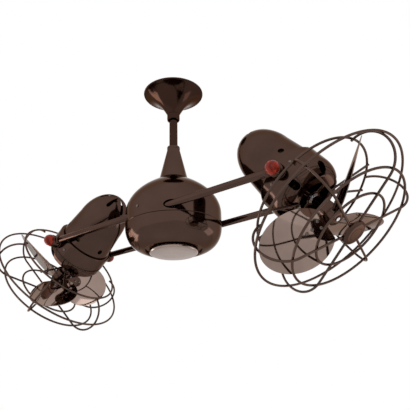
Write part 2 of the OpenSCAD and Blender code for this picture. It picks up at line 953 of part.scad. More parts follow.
module blade_rivets() {
  color(steel) {
    rivet_shanks();
    at_rivets()
      translate([0, 0, blade_t / 2 + 0.2])
        cylinder(h = 2, d = rivet_d + 3);
    at_rivets()
      translate([0, 0, -blade_t / 2 - iron_t - 1.8])
        cylinder(h = 1.8, d = rivet_d + 3);
  }
}

blade_root = hub_r + 2;                 // blades start just outside the hub
sweep_back = 8;                         // how far the tip trails behind the middle line

// Rounded paddle, cambered across its width
module blade(i) {
  tip = blade_span / 2;
  reach = (tip - 8) / 2;
  color(bronze)
    difference() {
      on_blade(i)
        intersection() {
          translate([0, 0, -blade_t])
            linear_extrude(blade_w / 2)
              intersection() {
                polygon([
                  for (a = [0:6:354])
                    [tip - reach + reach * cos(a), blade_w / 2 * sin(a) - sweep_back * cos(a)]
                ]);
                translate([blade_root, -blade_w])
                  square([tip, 2 * blade_w]);
              }
          translate([0, 0, blade_camber])
            rotate([0, 90, 0])
              difference() {
                cylinder(h = big / 2, r = blade_camber + blade_t / 2, $fn = 360);
                translate([0, 0, -1])
                  cylinder(h = big, r = blade_camber - blade_t / 2, $fn = 360);
              }
        }
      rivet_shanks();
    }
}

// ---------------------------------------------------------------- wire guards

belly_z = rear_ring_z + belly_rise;
front_z = belly_z + front_rise;
spoke_z = front_z + wire_d;             // spokes lie on top of the front rings
spoke_in = 8;                           // inner end of a spoke, under the cap
weld = 0.1;                             // depth of a weld into the wire it holds
touch = wire_d - weld;                  // distance between the middles of two welded wires

// A spoke bends in one arc that touches the belly ring and the rear ring from inside.
// Equal distance to both rings puts the middle of the arc at x = shift + slope * radius.
belly_r = belly_ring_d / 2;
rear_r = rear_ring_d / 2;
slope = belly_rise / (belly_r - rear_r);
shift = (belly_r + rear_r) / 2 + slope * ((belly_z + rear_ring_z) / 2 - spoke_z);
half = slope * (belly_r - shift) + (spoke_z - belly_z) + touch;
rest = (belly_r - shift) ^ 2 + (spoke_z - belly_z) ^ 2 - touch ^ 2;
bend_r = (half - sqrt(half ^ 2 - slope ^ 2 * rest)) / slope ^ 2;
bend_x = shift + slope * bend_r;
bend_z = spoke_z - bend_r;
past_rear = 3;                          // degrees that a spoke runs past the rear ring
bend_end = atan2(bend_z - rear_ring_z, rear_r - bend_x) + past_rear;

// A front ring wider than the straight part of the spokes lies lower, on their bend
front_r = front_ring_d / 2;
front_ring_z = front_r > bend_x ? bend_z + sqrt((bend_r - touch) ^ 2 - (front_r - bend_x) ^ 2) : front_z;

module ring(d, z) {
  translate([0, 0, z])
    rotate_extrude()
      translate([d / 2, 0])
        circle(d = wire_d, $fn = 32);
}

module guard_rings() {
  color(dark) {
    ring(rear_ring_d, rear_ring_z);
    ring(belly_ring_d, belly_z);
    ring(front_ring_d, front_ring_z);
    ring(inner_ring_d, front_z);
  }
}

// One bent wire in the half plane of +X: over the front rings, round the belly, onto the rear ring
module spoke() {
  rotate([90, 0, 0]) {
    translate([spoke_in, spoke_z, 0])
      rotate([0, 90, 0])
        cylinder(h = bend_x - spoke_in, d = wire_d, $fn = 32);
    translate([bend_x, bend_z, 0])
      rotate([0, 0, -bend_end])
        rotate_extrude(angle = 90 + bend_end)
          translate([bend_r, 0])
            circle(d = wire_d, $fn = 32);
  }
}

module guard_spokes(turn) {
  color(dark)
    for (i = [0:spoke_count - 1])
      rotate([0, 0, turn + i * 360 / spoke_count])
        spoke();
}

strut_spread = 14.5;                    // half the angle between the two legs of a strut

// Two bent wire struts, each screwed to the cover at its eye and welded to the rear ring
module guard_struts(turn) {
  color(dark)
    for (a = [0, 180])
      rotate([0, 0, turn + a])
        difference() {
          union() {
            translate([strut_r, 0, cover_front])
              cylinder(h = eye_h, d = 12);
            for (s = [-1, 1])
              strut_leg(s * strut_spread);
          }
          translate([strut_r, 0, cover_front - 1])
            cylinder(h = eye_h + 2, d = screw_d);
        }
}

module strut_leg(angle) {
  from = [strut_r, 0, cover_front + wire_d / 2];
  to = [rear_ring_d / 2 * cos(angle), rear_ring_d / 2 * sin(angle), rear_ring_z + wire_d - weld];
  way = to - from;
  start = 3.5;                          // legs begin inside the eye, clear of its hole
  translate(from)
    rotate([0, acos(way[2] / norm(way)), atan2(way[1], way[0])])
      translate([0, 0, start])
        cylinder(h = norm(way) - start, d = wire_d, $fn = 32);
}

// Domed disc; the spokes end in grooves across its rear face
module guard_cap(turn) {
  r = guard_cap_d / 2;
  edge = 8;
  color(bronze)
    difference() {
      translate([0, 0, spoke_z])
        rotate_extrude()
          polygon(concat(
            [[0, 0], [r, 0]],
            [for (a = [0:15:90]) [r - edge + edge * cos(a), guard_cap_h * (0.4 + 0.6 * sin(a))]],
            [[0, guard_cap_h]]
          ));
      for (i = [0:spoke_count - 1])
        rotate([0, 0, turn + i * 360 / spoke_count])
          translate([spoke_in, 0, spoke_z])
            rotate([0, 90, 0])
              cylinder(h = r, d = wire_d, $fn = 32);
    }
}

// ---------------------------------------------------------------- pivots and knobs

knob_neck_d = stud_d - 2;               // threaded end of a stud
knob_face = hub_out + gap;              // flat face of a knob, against the hub
knob_y = hub_out + 2.8;                 // middle of the ball

module pivot_studs() {
  color(steel)
    for (s = [-1, 1])
      rotate([-s * 90, 0, 0])
        translate([0, 0, cover_r - 10]) {
          cylinder(h = hub_out - cover_r + 10, d = stud_d);
          cylinder(h = knob_y + 6 - cover_r + 10, d = knob_neck_d);
        }
}

// Ball with a flat face towards the hub and a blind threaded bore
module knob(s) {
  r = knob_d / 2;
  face = knob_face - knob_y;
  bore_r = knob_neck_d / 2 + fit;
  lowest = asin(face / r);
  step = (90 - lowest) / 16;
  color(wood)
    rotate([-s * 90, 0, 0])
      translate([0, 0, knob_y])
        rotate_extrude()
          polygon(concat(
            [[bore_r, face]],
            [for (i = [0:16]) r * [cos(lowest + i * step), sin(lowest + i * step)]],
            [[0, 7], [bore_r, 7]]
          ));
}

ceiling_bracket();
hanger_pin();
canopy();
set_screws();
downrod();
cone_cover();
spindle();
spindle_nut();
bearing_inner_races();
slip_ring();
carrier();
bearing_outer_races();
upper_shell();
lower_shell();
bottom_cap();
bar(-1);  // front_bar
bar(1);  // rear_bar
bar_clamps();
housing_screws();
brush_block();
bar_hubs(1);  // right_bar_hubs
bar_hubs(-1);  // left_bar_hubs
place_head(1) head_shell();  // right_head_shell
place_head(1) front_cover(right_guard_turn);  // right_front_cover
place_head(1) stator();  // right_stator
place_head(1) rotor();  // right_rotor
place_head(1) motor_shaft();  // right_motor_shaft
place_head(1) bearings();  // right_bearings
place_head(1) blade_hub();  // right_blade_hub
place_head(1) blade(0);  // right_blade_1
place_head(1) blade(1);  // right_blade_2
place_head(1) blade(2);  // right_blade_3
place_head(1) blade_rivets();  // right_blade_rivets
place_head(1) guard_rings();  // right_guard_rings
place_head(1) guard_spokes(right_guard_turn);  // right_guard_spokes
place_head(1) guard_struts(right_guard_turn);  // right_guard_struts
place_head(1) guard_cap(right_guard_turn);  // right_guard_cap
place_head(1) head_screws(right_guard_turn);  // right_head_screws
place_head(1) pivot_studs();  // right_pivot_studs
place_head(1) knob(-1);  // right_front_knob
place_head(1) knob(1);  // right_rear_knob
place_head(-1) head_shell();  // left_head_shell
place_head(-1) front_cover(left_guard_turn);  // left_front_cover
place_head(-1) stator();  // left_stator
place_head(-1) rotor();  // left_rotor
place_head(-1) motor_shaft();  // left_motor_shaft
place_head(-1) bearings();  // left_bearings
place_head(-1) blade_hub();  // left_blade_hub
place_head(-1) blade(0);  // left_blade_1
place_head(-1) blade(1);  // left_blade_2
place_head(-1) blade(2);  // left_blade_3
place_head(-1) blade_rivets();  // left_blade_rivets
place_head(-1) guard_rings();  // left_guard_rings
place_head(-1) guard_spokes(left_guard_turn);  // left_guard_spokes
place_head(-1) guard_struts(left_guard_turn);  // left_guard_struts
place_head(-1) guard_cap(left_guard_turn);  // left_guard_cap
place_head(-1) head_screws(left_guard_turn);  // left_head_screws
place_head(-1) pivot_studs();  // left_pivot_studs
place_head(-1) knob(-1);  // left_front_knob
place_head(-1) knob(1);  // left_rear_knob
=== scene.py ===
"""Twin head ceiling fan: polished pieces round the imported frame, their finishes and a studio."""

import json
from math import asin, atan2, cos, pi, radians, sin, sqrt

import bmesh
import bpy
from bmesh.types import BMEdge, BMVert
from bpy.props import FloatProperty, FloatVectorProperty, IntProperty, PointerProperty
from mathutils import Matrix, Vector


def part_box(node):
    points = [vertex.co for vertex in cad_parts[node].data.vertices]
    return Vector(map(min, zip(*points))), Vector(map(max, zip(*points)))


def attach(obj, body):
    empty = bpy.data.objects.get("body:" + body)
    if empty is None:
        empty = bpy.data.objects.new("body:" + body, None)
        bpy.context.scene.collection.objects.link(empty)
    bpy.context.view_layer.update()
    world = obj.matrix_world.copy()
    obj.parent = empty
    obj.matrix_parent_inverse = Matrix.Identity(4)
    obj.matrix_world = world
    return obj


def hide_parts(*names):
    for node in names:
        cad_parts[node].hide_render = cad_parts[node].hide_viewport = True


bl_info = {
    "name": "Twin head ceiling fan",
    "version": (1, 0, 0),
    "blender": (4, 5, 0),
    "location": "View3D > Sidebar > Ceiling fan",
    "description": "Models the polished pieces of a ceiling fan with two tilting, caged heads",
    "category": "Add Mesh",
}

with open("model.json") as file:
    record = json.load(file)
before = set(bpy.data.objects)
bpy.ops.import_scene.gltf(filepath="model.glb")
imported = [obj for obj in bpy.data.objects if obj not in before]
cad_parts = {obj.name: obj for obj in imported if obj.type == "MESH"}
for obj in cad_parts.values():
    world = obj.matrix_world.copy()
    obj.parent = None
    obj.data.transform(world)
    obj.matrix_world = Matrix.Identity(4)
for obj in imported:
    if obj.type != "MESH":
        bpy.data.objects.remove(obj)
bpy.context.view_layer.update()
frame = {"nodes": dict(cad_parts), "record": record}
RECORD = frame["record"]
SIDES = {"right": 1, "left": -1}
MM = 0.001


def box_mm(node):
    """Lowest and highest corners of a frame node, in millimetres."""
    low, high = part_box(node)
    return Vector(low) / MM, Vector(high) / MM


# ---- sizes and colours


def size(text, value):
    """A length of the fan in millimetres, shown with its description."""
    return FloatProperty(name=text.split(",")[0], description=f"{text}, mm", default=value)


def angle_field(name, text, degrees):
    """An angle of the fan or of the camera, shown with its description."""
    return FloatProperty(name=name, description=text, default=radians(degrees),
                         subtype="ANGLE", unit="ROTATION")


class FanMountSizes(bpy.types.PropertyGroup):
    """Canopy, downrod and cone."""

    canopy_radius: size("Canopy radius, at the rim", 70.5)
    canopy_height: size("Canopy height", 73.5)
    canopy_wall: size("Canopy wall", 1.6)
    neck_radius: size("Neck radius, of the canopy's collar", 14.8)
    neck_height: size("Neck height", 16.5)
    neck_gap: size("Neck gap, between collar and rod", 2.2)
    rod_radius: size("Rod radius", 9.5)
    rod_wall: size("Rod wall", 2.0)
    cone_radius: size("Cone radius, at its foot", 33.0)
    cone_height: size("Cone height", 84.5)
    cone_wall: size("Cone wall", 1.5)
    collar_radius: size("Collar radius, on top of the cone", 14.75)
    collar_height: size("Collar height", 7.0)


class FanHousingSizes(bpy.types.PropertyGroup):
    """Round housing and bars."""

    radius: size("Housing radius", 104.5)
    dome_height: size("Dome height", 82.5)
    band_height: size("Band height", 29.0)
    bowl_height: size("Bowl height", 52.0)
    wall: size("Housing wall", 2.0)
    top_hole: size("Top hole radius", 20.0)
    cap_radius: size("Bottom cap radius", 52.0)
    cap_height: size("Bottom cap height", 11.7)
    bar_radius: size("Bar radius", 7.25)
    bar_hole: size("Bar hole radius", 10.0)
    hub_radius: size("Bar hub radius", 14.0)
    reach: size("Reach, from the middle to a tilt axis", 301.7)


class FanHeadSizes(bpy.types.PropertyGroup):
    """Motor heads and blades, measured from the tilt axis along the fan's axis."""

    right_tilt: angle_field("Right tilt", "Right head below the horizontal", 51.1)
    left_tilt: angle_field("Left tilt", "Left head below the horizontal", 38.0)
    shell_back: size("Shell back, tip of the dome", 166.0)
    shell_dome: size("Shell dome length", 80.0)
    shell_rear_radius: size("Shell rear radius", 57.0)
    shell_front_radius: size("Shell front radius", 62.4)
    shell_wall: size("Shell wall", 2.0)
    cover_radius: size("Cover radius", 69.0)
    cover_front: size("Cover front", 45.0)
    cover_wall: size("Cover wall", 2.5)
    mouth_radius: size("Mouth radius", 33.0)
    blade_hub: size("Blade hub radius", 17.0)
    blade_tip: size("Blade tip radius", 150.0)
    blade_width: size("Blade width", 112.0)
    blade_thickness: size("Blade thickness", 1.5)
    blade_middle: size("Blade middle", 95.0)
    blade_curve: size("Blade curve radius", 300.0)
    blade_sweep: size("Blade sweep", 8.0)
    blade_pitch: angle_field("Blade pitch", "Pitch of a blade", 39)
    blade_turn: angle_field("Blade turn", "Turn of the first blade", 95)
    knob_radius: size("Knob radius", 13.2)


class FanGuardSizes(bpy.types.PropertyGroup):
    """Wire guards."""

    wire: size("Wire radius", 2.25)
    rear_radius: size("Rear ring radius", 125.7)
    belly_radius: size("Belly ring radius", 165.0)
    front_radius: size("Front ring radius", 123.7)
    inner_radius: size("Inner ring radius", 75.0)
    rear_at: size("Rear ring place", 46.2)
    belly_at: size("Belly ring place", 94.0)
    front_at: size("Front ring place", 141.1)
    weld: size("Weld depth, of one wire in the next", 0.1)
    spokes: IntProperty(name="Spokes", description="Number of spokes", default=6, min=3, max=12)
    cap_radius: size("Guard cap radius", 24.0)
    cap_height: size("Guard cap height", 8.0)


def colour(text, value):
    """A colour of the fan."""
    return FloatVectorProperty(name=text, description=f"{text} of the fan", subtype="COLOR",
                               size=3, min=0, max=1, default=value)


class FanColours(bpy.types.PropertyGroup):
    """Colours, in linear light."""

    bronze: colour("Polished bronze", (0.078, 0.046, 0.036))
    bronze_edge: colour("Bronze seen along the surface", (0.56, 0.50, 0.47))
    wire: colour("Guard wire", (0.086, 0.055, 0.044))
    # lighter copy of the bronze for the blades: the colour holds painted reflection of the bright
    # surroundings
    blade: colour("Blade bronze with painted reflection", (0.30, 0.22, 0.187))
    blade_edge: colour("Blade seen along the surface", (0.45, 0.39, 0.36))
    # darker copy of the bronze for canopy and rod: painted shade in the colour
    mount: colour("Canopy and rod", (0.042, 0.021, 0.015))
    # lighter copy of the bronze for the bottom cap: painted reflection of the bright floor, with a
    # near-white edge tint
    cap: colour("Bottom cap", (0.33, 0.25, 0.215))
    cap_edge: colour("Bottom cap seen along the surface", (0.95, 0.93, 0.92))
    wood: colour("Lacquered wood", (0.30, 0.020, 0.005))
    wood_dark: colour("Dark figure of the wood", (0.09, 0.005, 0.002))


class FanStage(bpy.types.PropertyGroup):
    """Camera and light."""

    camera_at: FloatVectorProperty(name="Camera place", description="Where the camera stands",
                                   default=(0.6867, -0.8201, -0.7241), unit="LENGTH")
    heading: angle_field("Heading", "Turn of the view from +Y towards -X", 36.23)
    pitch: angle_field("Pitch", "Rise of the view", 22.13)
    roll: angle_field("Roll", "Roll of the camera", -1.55)
    lens: FloatProperty(name="Lens", description="Focal length on a 36 mm frame", default=45.83)
    floor_at: FloatProperty(name="Floor", description="Height of the floor", default=-2.6,
                            unit="LENGTH")
    ambient: FloatProperty(name="Ambient", description="Strength of the diffuse surroundings",
                           default=0.92)


GROUPS = {
    "fan_mount": FanMountSizes,
    "fan_housing": FanHousingSizes,
    "fan_head": FanHeadSizes,
    "fan_guard": FanGuardSizes,
    "fan_colours": FanColours,
    "fan_stage": FanStage,
}


def mount():
    """Sizes of canopy, rod and cone."""
    return bpy.context.scene.fan_mount


def housing():
    """Sizes of housing and bars."""
    return bpy.context.scene.fan_housing


def head():
    """Sizes of the motor heads."""
    return bpy.context.scene.fan_head


def guard():
    """Sizes of the wire guards."""
    return bpy.context.scene.fan_guard


# ---- finishes


def socket(shader, name, value):
    """Sets one input of a shader."""
    shader.inputs[name].default_value = value


def new_finish(name):
    """A material with an empty principled shader, and its tree."""
    material = bpy.data.materials.new(name)
    material.use_nodes = True
    tree = material.node_tree
    return material, tree, tree.nodes["Principled BSDF"]


def noise(tree, scale, detail, rough, stretch=(1, 1, 1)):
    """Noise on object coordinates; scale counts features per metre."""
    place = tree.nodes.new("ShaderNodeTexCoord")
    mapping = tree.nodes.new("ShaderNodeMapping")
    mapping.inputs["Scale"].default_value = stretch
    texture = tree.nodes.new("ShaderNodeTexNoise")
    for name, value in (("Scale", scale), ("Detail", detail), ("Roughness", rough)):
        texture.inputs[name].default_value = value
    tree.links.new(place.outputs["Object"], mapping.inputs["Vector"])
    tree.links.new(mapping.outputs["Vector"], texture.inputs["Vector"])
    return texture.outputs["Fac"]


def ramp(tree, factor, stops):
    """A colour ramp with (position, colour) stops."""
    node = tree.nodes.new("ShaderNodeValToRGB")
    marks = node.color_ramp.elements
    for mark, (place, shade) in zip(marks, (stops[0], stops[-1])):
        mark.position = place
        mark.color = (*shade, 1)
    for place, shade in stops[1:-1]:
        marks.new(place).color = (*shade, 1)
    tree.links.new(factor, node.inputs["Fac"])
    return node.outputs["Color"]


def span(tree, factor, low, high):
    """Stretches a factor to the range from low to high."""
    node = tree.nodes.new("ShaderNodeMapRange")
    node.inputs["To Min"].default_value = low
    node.inputs["To Max"].default_value = high
    tree.links.new(factor, node.inputs["Value"])
    return node.outputs["Result"]


def bump(tree, shader, height, strength, depth):
    """Adds bumps of a depth in metres."""
    node = tree.nodes.new("ShaderNodeBump")
    node.inputs["Strength"].default_value = strength
    node.inputs["Distance"].default_value = depth
    tree.links.new(height, node.inputs["Height"])
    tree.links.new(node.outputs["Normal"], shader.inputs["Normal"])


def shaded(value, factor):
    """A colour made darker or lighter."""
    return tuple(min(1.0, part * factor) for part in value)


def bronze_finish(name, base, edge, smooth, rough):
    """Polished dark bronze under clear lacquer: cloudy tone, faint wiping marks and orange peel."""
    material, tree, shader = new_finish(name)
    tone = noise(tree, scale=14, detail=4, rough=0.6)
    colours = ramp(tree, tone, [(0.25, shaded(base, 0.86)), (0.75, shaded(base, 1.12))])
    tree.links.new(colours, shader.inputs["Base Color"])
    wiped = noise(tree, scale=60, detail=5, rough=0.65, stretch=(1, 1, 0.35))
    tree.links.new(span(tree, wiped, smooth, rough), shader.inputs["Roughness"])
    peel = noise(tree, scale=900, detail=2, rough=0.5)
    bump(tree, shader, peel, strength=0.12, depth=0.00004)
    socket(shader, "Metallic", 1.0)
    socket(shader, "Specular Tint", (*edge, 1))
    return material


def steel_finish(name, base, rough, scratch=350):
    """Plain steel with fine turning marks."""
    material, tree, shader = new_finish(name)
    marks = noise(tree, scale=scratch, detail=3, rough=0.6, stretch=(1, 1, 6))
    colours = ramp(tree, marks, [(0.3, shaded(base, 0.8)), (0.7, base)])
    tree.links.new(colours, shader.inputs["Base Color"])
    tree.links.new(span(tree, marks, rough - 0.06, rough + 0.1), shader.inputs["Roughness"])
    bump(tree, shader, marks, strength=0.15, depth=0.00005)
    socket(shader, "Metallic", 1.0)
    return material


def plastic_finish(name, base, rough):
    """Moulded plastic with a fine grain."""
    material, tree, shader = new_finish(name)
    grain = noise(tree, scale=1500, detail=2, rough=0.5)
    colours = ramp(tree, grain, [(0.3, shaded(base, 0.85)), (0.7, base)])
    tree.links.new(colours, shader.inputs["Base Color"])
    bump(tree, shader, grain, strength=0.2, depth=0.00008)
    socket(shader, "Roughness", rough)
    return material


def wood_finish(name, light, dark):
    """Red-brown burl under thick clear lacquer."""
    material, tree, shader = new_finish(name)
    figure = noise(tree, scale=150, detail=4, rough=0.6, stretch=(1, 1, 0.5))
    stops = [(0.34, dark), (0.46, shaded(light, 0.6)), (0.58, light), (0.8, shaded(light, 1.4))]
    tree.links.new(ramp(tree, figure, stops), shader.inputs["Base Color"])
    socket(shader, "Roughness", 0.35)
    socket(shader, "Specular IOR Level", 0.1)
    socket(shader, "Coat Weight", 0.2)
    socket(shader, "Coat Roughness", 0.05)
    return material


def make_finishes():
    """All finishes by the name of their slot, and two more copies of the bronze: a darker one with
    painted shade and a lighter one with painted reflection.
    """
    tints = bpy.context.scene.fan_colours
    bronze, edge = tints.bronze, tints.bronze_edge
    return {
        "bronze": bronze_finish("polished_bronze", bronze, edge, 0.07, 0.15),
        "cast_bronze": bronze_finish("cast_bronze", shaded(bronze, 0.92), edge, 0.08, 0.18),
        "dark_wire": bronze_finish("wire_bronze", tints.wire, edge, 0.16, 0.26),
        # blades: lighter copy of the bronze, with painted reflection in its colour
        "bronze_blade": bronze_finish("blade_bronze_painted_reflection", tints.blade, tints.blade_edge, 0.05, 0.10),
        # canopy and rod: darker copy of the bronze, with painted shade
        "mount_bronze_painted_shade": bronze_finish("mount_bronze_painted_shade", tints.mount, edge, 0.09, 0.17),
        # bottom cap: lighter copy of the bronze, with painted reflection
        "cap_bronze_painted_reflection": bronze_finish("cap_bronze_painted_reflection", tints.cap, tints.cap_edge, 0.12, 0.2),
        "wood_ball": wood_finish("lacquered_wood", tints.wood, tints.wood_dark),
        "zinc_steel": steel_finish("zinc_steel", (0.16, 0.13, 0.115), 0.34),
        "bearing_steel": steel_finish("ground_steel", (0.55, 0.55, 0.56), 0.22, 700),
        "core_steel": steel_finish("core_steel", (0.16, 0.16, 0.17), 0.42, 1400),
        "motor_core": steel_finish("varnished_core", (0.10, 0.055, 0.03), 0.45, 900),
        "cast_carrier": steel_finish("bare_casting", (0.45, 0.45, 0.46), 0.5, 200),
        "slip_ring": plastic_finish("ring_drum", (0.02, 0.02, 0.022), 0.3),
        "brush": plastic_finish("brush_holder", (0.025, 0.025, 0.028), 0.45),
    }


FINISHES = {}


def finish_of(name):
    """A finish by its name, made on first use."""
    if not FINISHES:
        FINISHES.update(make_finishes())
    return FINISHES[name]


# ---- shaping


def body_holding(node):
    """The body that a frame node belongs to."""
    return next(name for name, nodes in RECORD["behaviour"]["bodies"].items() if node in nodes)


def slot_holding(node):
    """The material slot of a frame node."""
    return next(part["material_slot"] for part in RECORD["subparts"] if part["node"] == node)


def linked(name, data):
    """A new object in the scene."""
    thing = bpy.data.objects.new(name, data)
    bpy.context.collection.objects.link(thing)
    return thing


def as_object(bm, name):
    """An object made of a shape, which is used up."""
    mesh = bpy.data.meshes.new(name)
    bm.to_mesh(mesh)
    bm.free()
    return linked(name, mesh)


def only(kind, items):
    """The vertices, edges or faces among parts of a shape."""
    return [item for item in items if isinstance(item, kind)]


def placed(bm, matrix):
    """Moves a shape by a matrix, and returns it."""
    bmesh.ops.transform(bm, matrix=matrix, verts=bm.verts)
    return bm


def shifted(bm, x, z):
    """Moves a shape in the plane of X and Z, and returns it."""
    bmesh.ops.translate(bm, vec=(x, 0, z), verts=bm.verts)
    return bm


def faced(bm):
    """Turns all faces of a shape outwards, and returns it."""
    bmesh.ops.recalc_face_normals(bm, faces=bm.faces)
    return bm


def swung(bm, angle, axis, verts=None):
    """Turns a shape, or some of its vertices, round an axis, and returns the shape."""
    turn = Matrix.Rotation(angle, 3, axis)
    bmesh.ops.rotate(bm, verts=verts or bm.verts, cent=(0, 0, 0), matrix=turn)
    return bm


SHARP = radians(32)  # between faces, where smooth shading ends


def finished(bm, name, node, place=None, finish=None):
    """Turns a shape in millimetres into a piece that rides with and stands for a node."""
    if place:
        placed(bm, place)
    bmesh.ops.scale(bm, vec=(MM, MM, MM), verts=bm.verts)
    piece = as_object(bm, name)
    slot_name = slot_holding(node)
    piece.data.materials.append(finish_of(finish or slot_name))
    piece.data.shade_smooth()
    piece.data.set_sharp_from_angle(angle=SHARP)
    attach(piece, body_holding(node))
    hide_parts(node)


def soften(bm, width, above=35, segments=3):
    """Bevels the edges whose faces meet at more than an angle in degrees."""
    chosen = [edge for edge in bm.edges
              if len(edge.link_faces) == 2 and edge.calc_face_angle(0) > radians(above)]
    bmesh.ops.bevel(bm, geom=chosen, offset=width, segments=segments, profile=0.5,
                    affect="EDGES", material=-1, clamp_overlap=True)


ON_AXIS = 0.001  # mm from the axis, up to which a point lies on it
SAME_POINT = 0.0005  # mm between points that become one


def whole_turn(bm, geometry, steps):
    """Spins parts of a shape once round the Z axis."""
    bmesh.ops.spin(bm, geom=geometry, cent=(0, 0, 0), axis=(0, 0, 1), angle=2 * pi,
                   steps=steps, use_merge=True)


def turned(profile, steps, closed=True, edge=0.0):
    """Spins a profile of (radius, height) points round the Z axis."""
    bm = bmesh.new()
    dots = [bm.verts.new((radius, 0, height)) for radius, height in profile]
    pairs = list(zip(dots, dots[1:]))
    if closed:
        pairs.append((dots[-1], dots[0]))
    lines = [bm.edges.new(pair) for pair in pairs if max(dot.co.x for dot in pair) > ON_AXIS]
    whole_turn(bm, dots + lines, steps)
    bmesh.ops.remove_doubles(bm, verts=bm.verts, dist=SAME_POINT)
    faced(bm)
    if edge:
        soften(bm, edge)
    return bm


def bezier(points, count):
    """Points along a Bezier curve of any degree."""
    found = []
    for step in range(count + 1):
        t = step / count
        row = [Vector(point) for point in points]
        while len(row) > 1:
            row = [a.lerp(b, t) for a, b in zip(row, row[1:])]
        found.append(tuple(row[0]))
    return found


def angles(sweep, count, start=0.0):
    """Evenly spaced angles, both ends included."""
    return [start + sweep * k / count for k in range(count + 1)]


def oval(middle, radii, turns):
    """Points of an ellipse at some angles."""
    return [(middle[0] + radii[0] * cos(a), middle[1] + radii[1] * sin(a)) for a in turns]


def prism(outline, low, height):
    """A straight block over an outline of (x, y) points."""
    bm = bmesh.new()
    base = bm.faces.new([bm.verts.new((x, y, low)) for x, y in outline])
    lifted = bmesh.ops.extrude_face_region(bm, geom=[base])["geom"]
    bmesh.ops.translate(bm, vec=(0, 0, height), verts=only(BMVert, lifted))
    return faced(bm)


def rod(radius, start, end, steps, edge=0.0):
    """A round bar between two points."""
    bm = bmesh.new()
    way = Vector(end) - Vector(start)
    bmesh.ops.create_cone(bm, cap_ends=True, segments=steps, radius1=radius, radius2=radius,
                          depth=way.length)
    if edge:
        soften(bm, edge)
    turn = way.to_track_quat("Z", "Y").to_matrix().to_4x4()
    middle = (Vector(start) + Vector(end)) / 2
    return placed(bm, Matrix.Translation(middle) @ turn)


def joined(*shapes):
    """Puts several shapes in one."""
    whole = bmesh.new()
    for shape in shapes:
        scrap = bpy.data.meshes.new("scrap")
        shape.to_mesh(scrap)
        shape.free()
        whole.from_mesh(scrap)
        bpy.data.meshes.remove(scrap)
    return whole


def turned_copies(bm, count, start=0.0):
    """Spreads copies of a shape evenly round the Z axis."""
    geometry = bm.verts[:] + bm.edges[:] + bm.faces[:]
    for index in range(1, count):
        copy = bmesh.ops.duplicate(bm, geom=geometry)["geom"]
        swung(bm, 2 * pi * index / count, "Z", only(BMVert, copy))
    return swung(bm, start, "Z")


def combined(bm, other):
    """Cuts a shape with another, and returns the result."""
    body, tool = as_object(bm, "body"), as_object(other, "tool")
    modifier = body.modifiers.new("cut", "BOOLEAN")
    modifier.operation = "DIFFERENCE"
    modifier.solver = "EXACT"
    modifier.use_self = True
    modifier.object = tool
    graph = bpy.context.evaluated_depsgraph_get()
    result = bmesh.new()
    result.from_mesh(body.evaluated_get(graph).to_mesh())
    for thing in (body, tool):
        mesh = thing.data
        bpy.data.objects.remove(thing)
        bpy.data.meshes.remove(mesh)
    bmesh.ops.dissolve_degenerate(result, dist=0.001, edges=result.edges)
    return result


# ---- heights and places


def heights():
    """Heights of the housing's top, shoulder, seam and lip."""
    sizes = housing()
    top = box_mm("upper_shell")[1].z
    shoulder = top - sizes.dome_height
    seam = shoulder - sizes.band_height
    return top, shoulder, seam, seam - sizes.bowl_height


def bar_place():
    """Distance of the bars from the middle plane, and their height."""
    low, high = box_mm("rear_bar")
    return (low.y + high.y) / 2, (low.z + high.z) / 2


def head_place(side):
    """Matrix that puts a head, modelled along +Z from its tilt axis, in its place."""
    tilt = head().right_tilt if side > 0 else head().left_tilt
    shift = Matrix.Translation((side * housing().reach, 0, bar_place()[1]))
    return shift @ Matrix.Rotation(side * (pi / 2 + tilt), 4, "Y")


def outward(s_y):
    """Matrix that turns +Z to the rear, for 1, or to the front, for -1."""
    return Matrix.Rotation(-s_y * pi / 2, 4, "X")


def blade_place(index):
    """Matrix that puts a shape, modelled along +X, on the pitched plane of a blade."""
    turn = Matrix.Rotation(head().blade_turn + index * 2 * pi / 3, 4, "Z")
    lift = Matrix.Translation((0, 0, head().blade_middle))
    return lift @ turn @ Matrix.Rotation(head().blade_pitch, 4, "X")


# ---- ceiling mount


def canopy_shape():
    """Trumpet-shaped canopy with a beaded collar."""
    s = mount()
    wall, r, neck = s.canopy_wall, s.canopy_radius, s.neck_radius
    bore = s.rod_radius + s.neck_gap
    foot, neck_top = -s.canopy_height, s.neck_height - s.canopy_height
    flare, waist = r - 2.5, -16
    outer = bezier([(flare, -3), (neck + 19, waist), (neck, neck_top)], 56)
    inner = bezier([(neck - wall, neck_top + wall), (neck + 18.5 - wall, wall + waist),
                    (flare - wall, -1.5)], 40)
    bead = [(neck - 0.5, neck_top - 0.5), (neck, neck_top - 1.2), (neck, foot + 3.4),
            (neck - 0.7, foot + 1.0), (neck - 2.4, foot)]
    rim = [(r - wall, 0), (r, 0), (r, -2), (r - 1, -3)]
    profile = rim + outer[:-1] + bead + [(bore, foot), (bore, neck_top + wall)] + inner[1:]
    return turned(profile, 160, edge=0.35)


def downrod_shape():
    """Tube from the ceiling bracket to the spindle."""
    low, high = box_mm("downrod")
    r = mount().rod_radius
    bore = r - mount().rod_wall
    return turned([(bore, low.z), (r, low.z), (r, high.z), (bore, high.z)], 96, edge=0.3)


def cone_shape():
    """Slender cone with a collar round the rod."""
    s = mount()
    low, high = box_mm("cone_cover")
    bore = s.rod_radius + 0.1
    foot, top = low.z, high.z
    neck = top - s.collar_height
    r, wide = s.collar_radius, s.cone_radius
    outer = [(bore, top), (r - 1.8, top), (r - 0.6, top - 0.5), (r, top - 1.8), (r, neck + 0.8),
             (r - 0.7, neck), (wide - 0.6, foot + 0.9), (wide, foot)]
    inner = [(wide - s.cone_wall, foot), (r - s.cone_wall, neck - 2), (bore, neck - 2)]
    return turned(outer + inner, 128, edge=0.25)


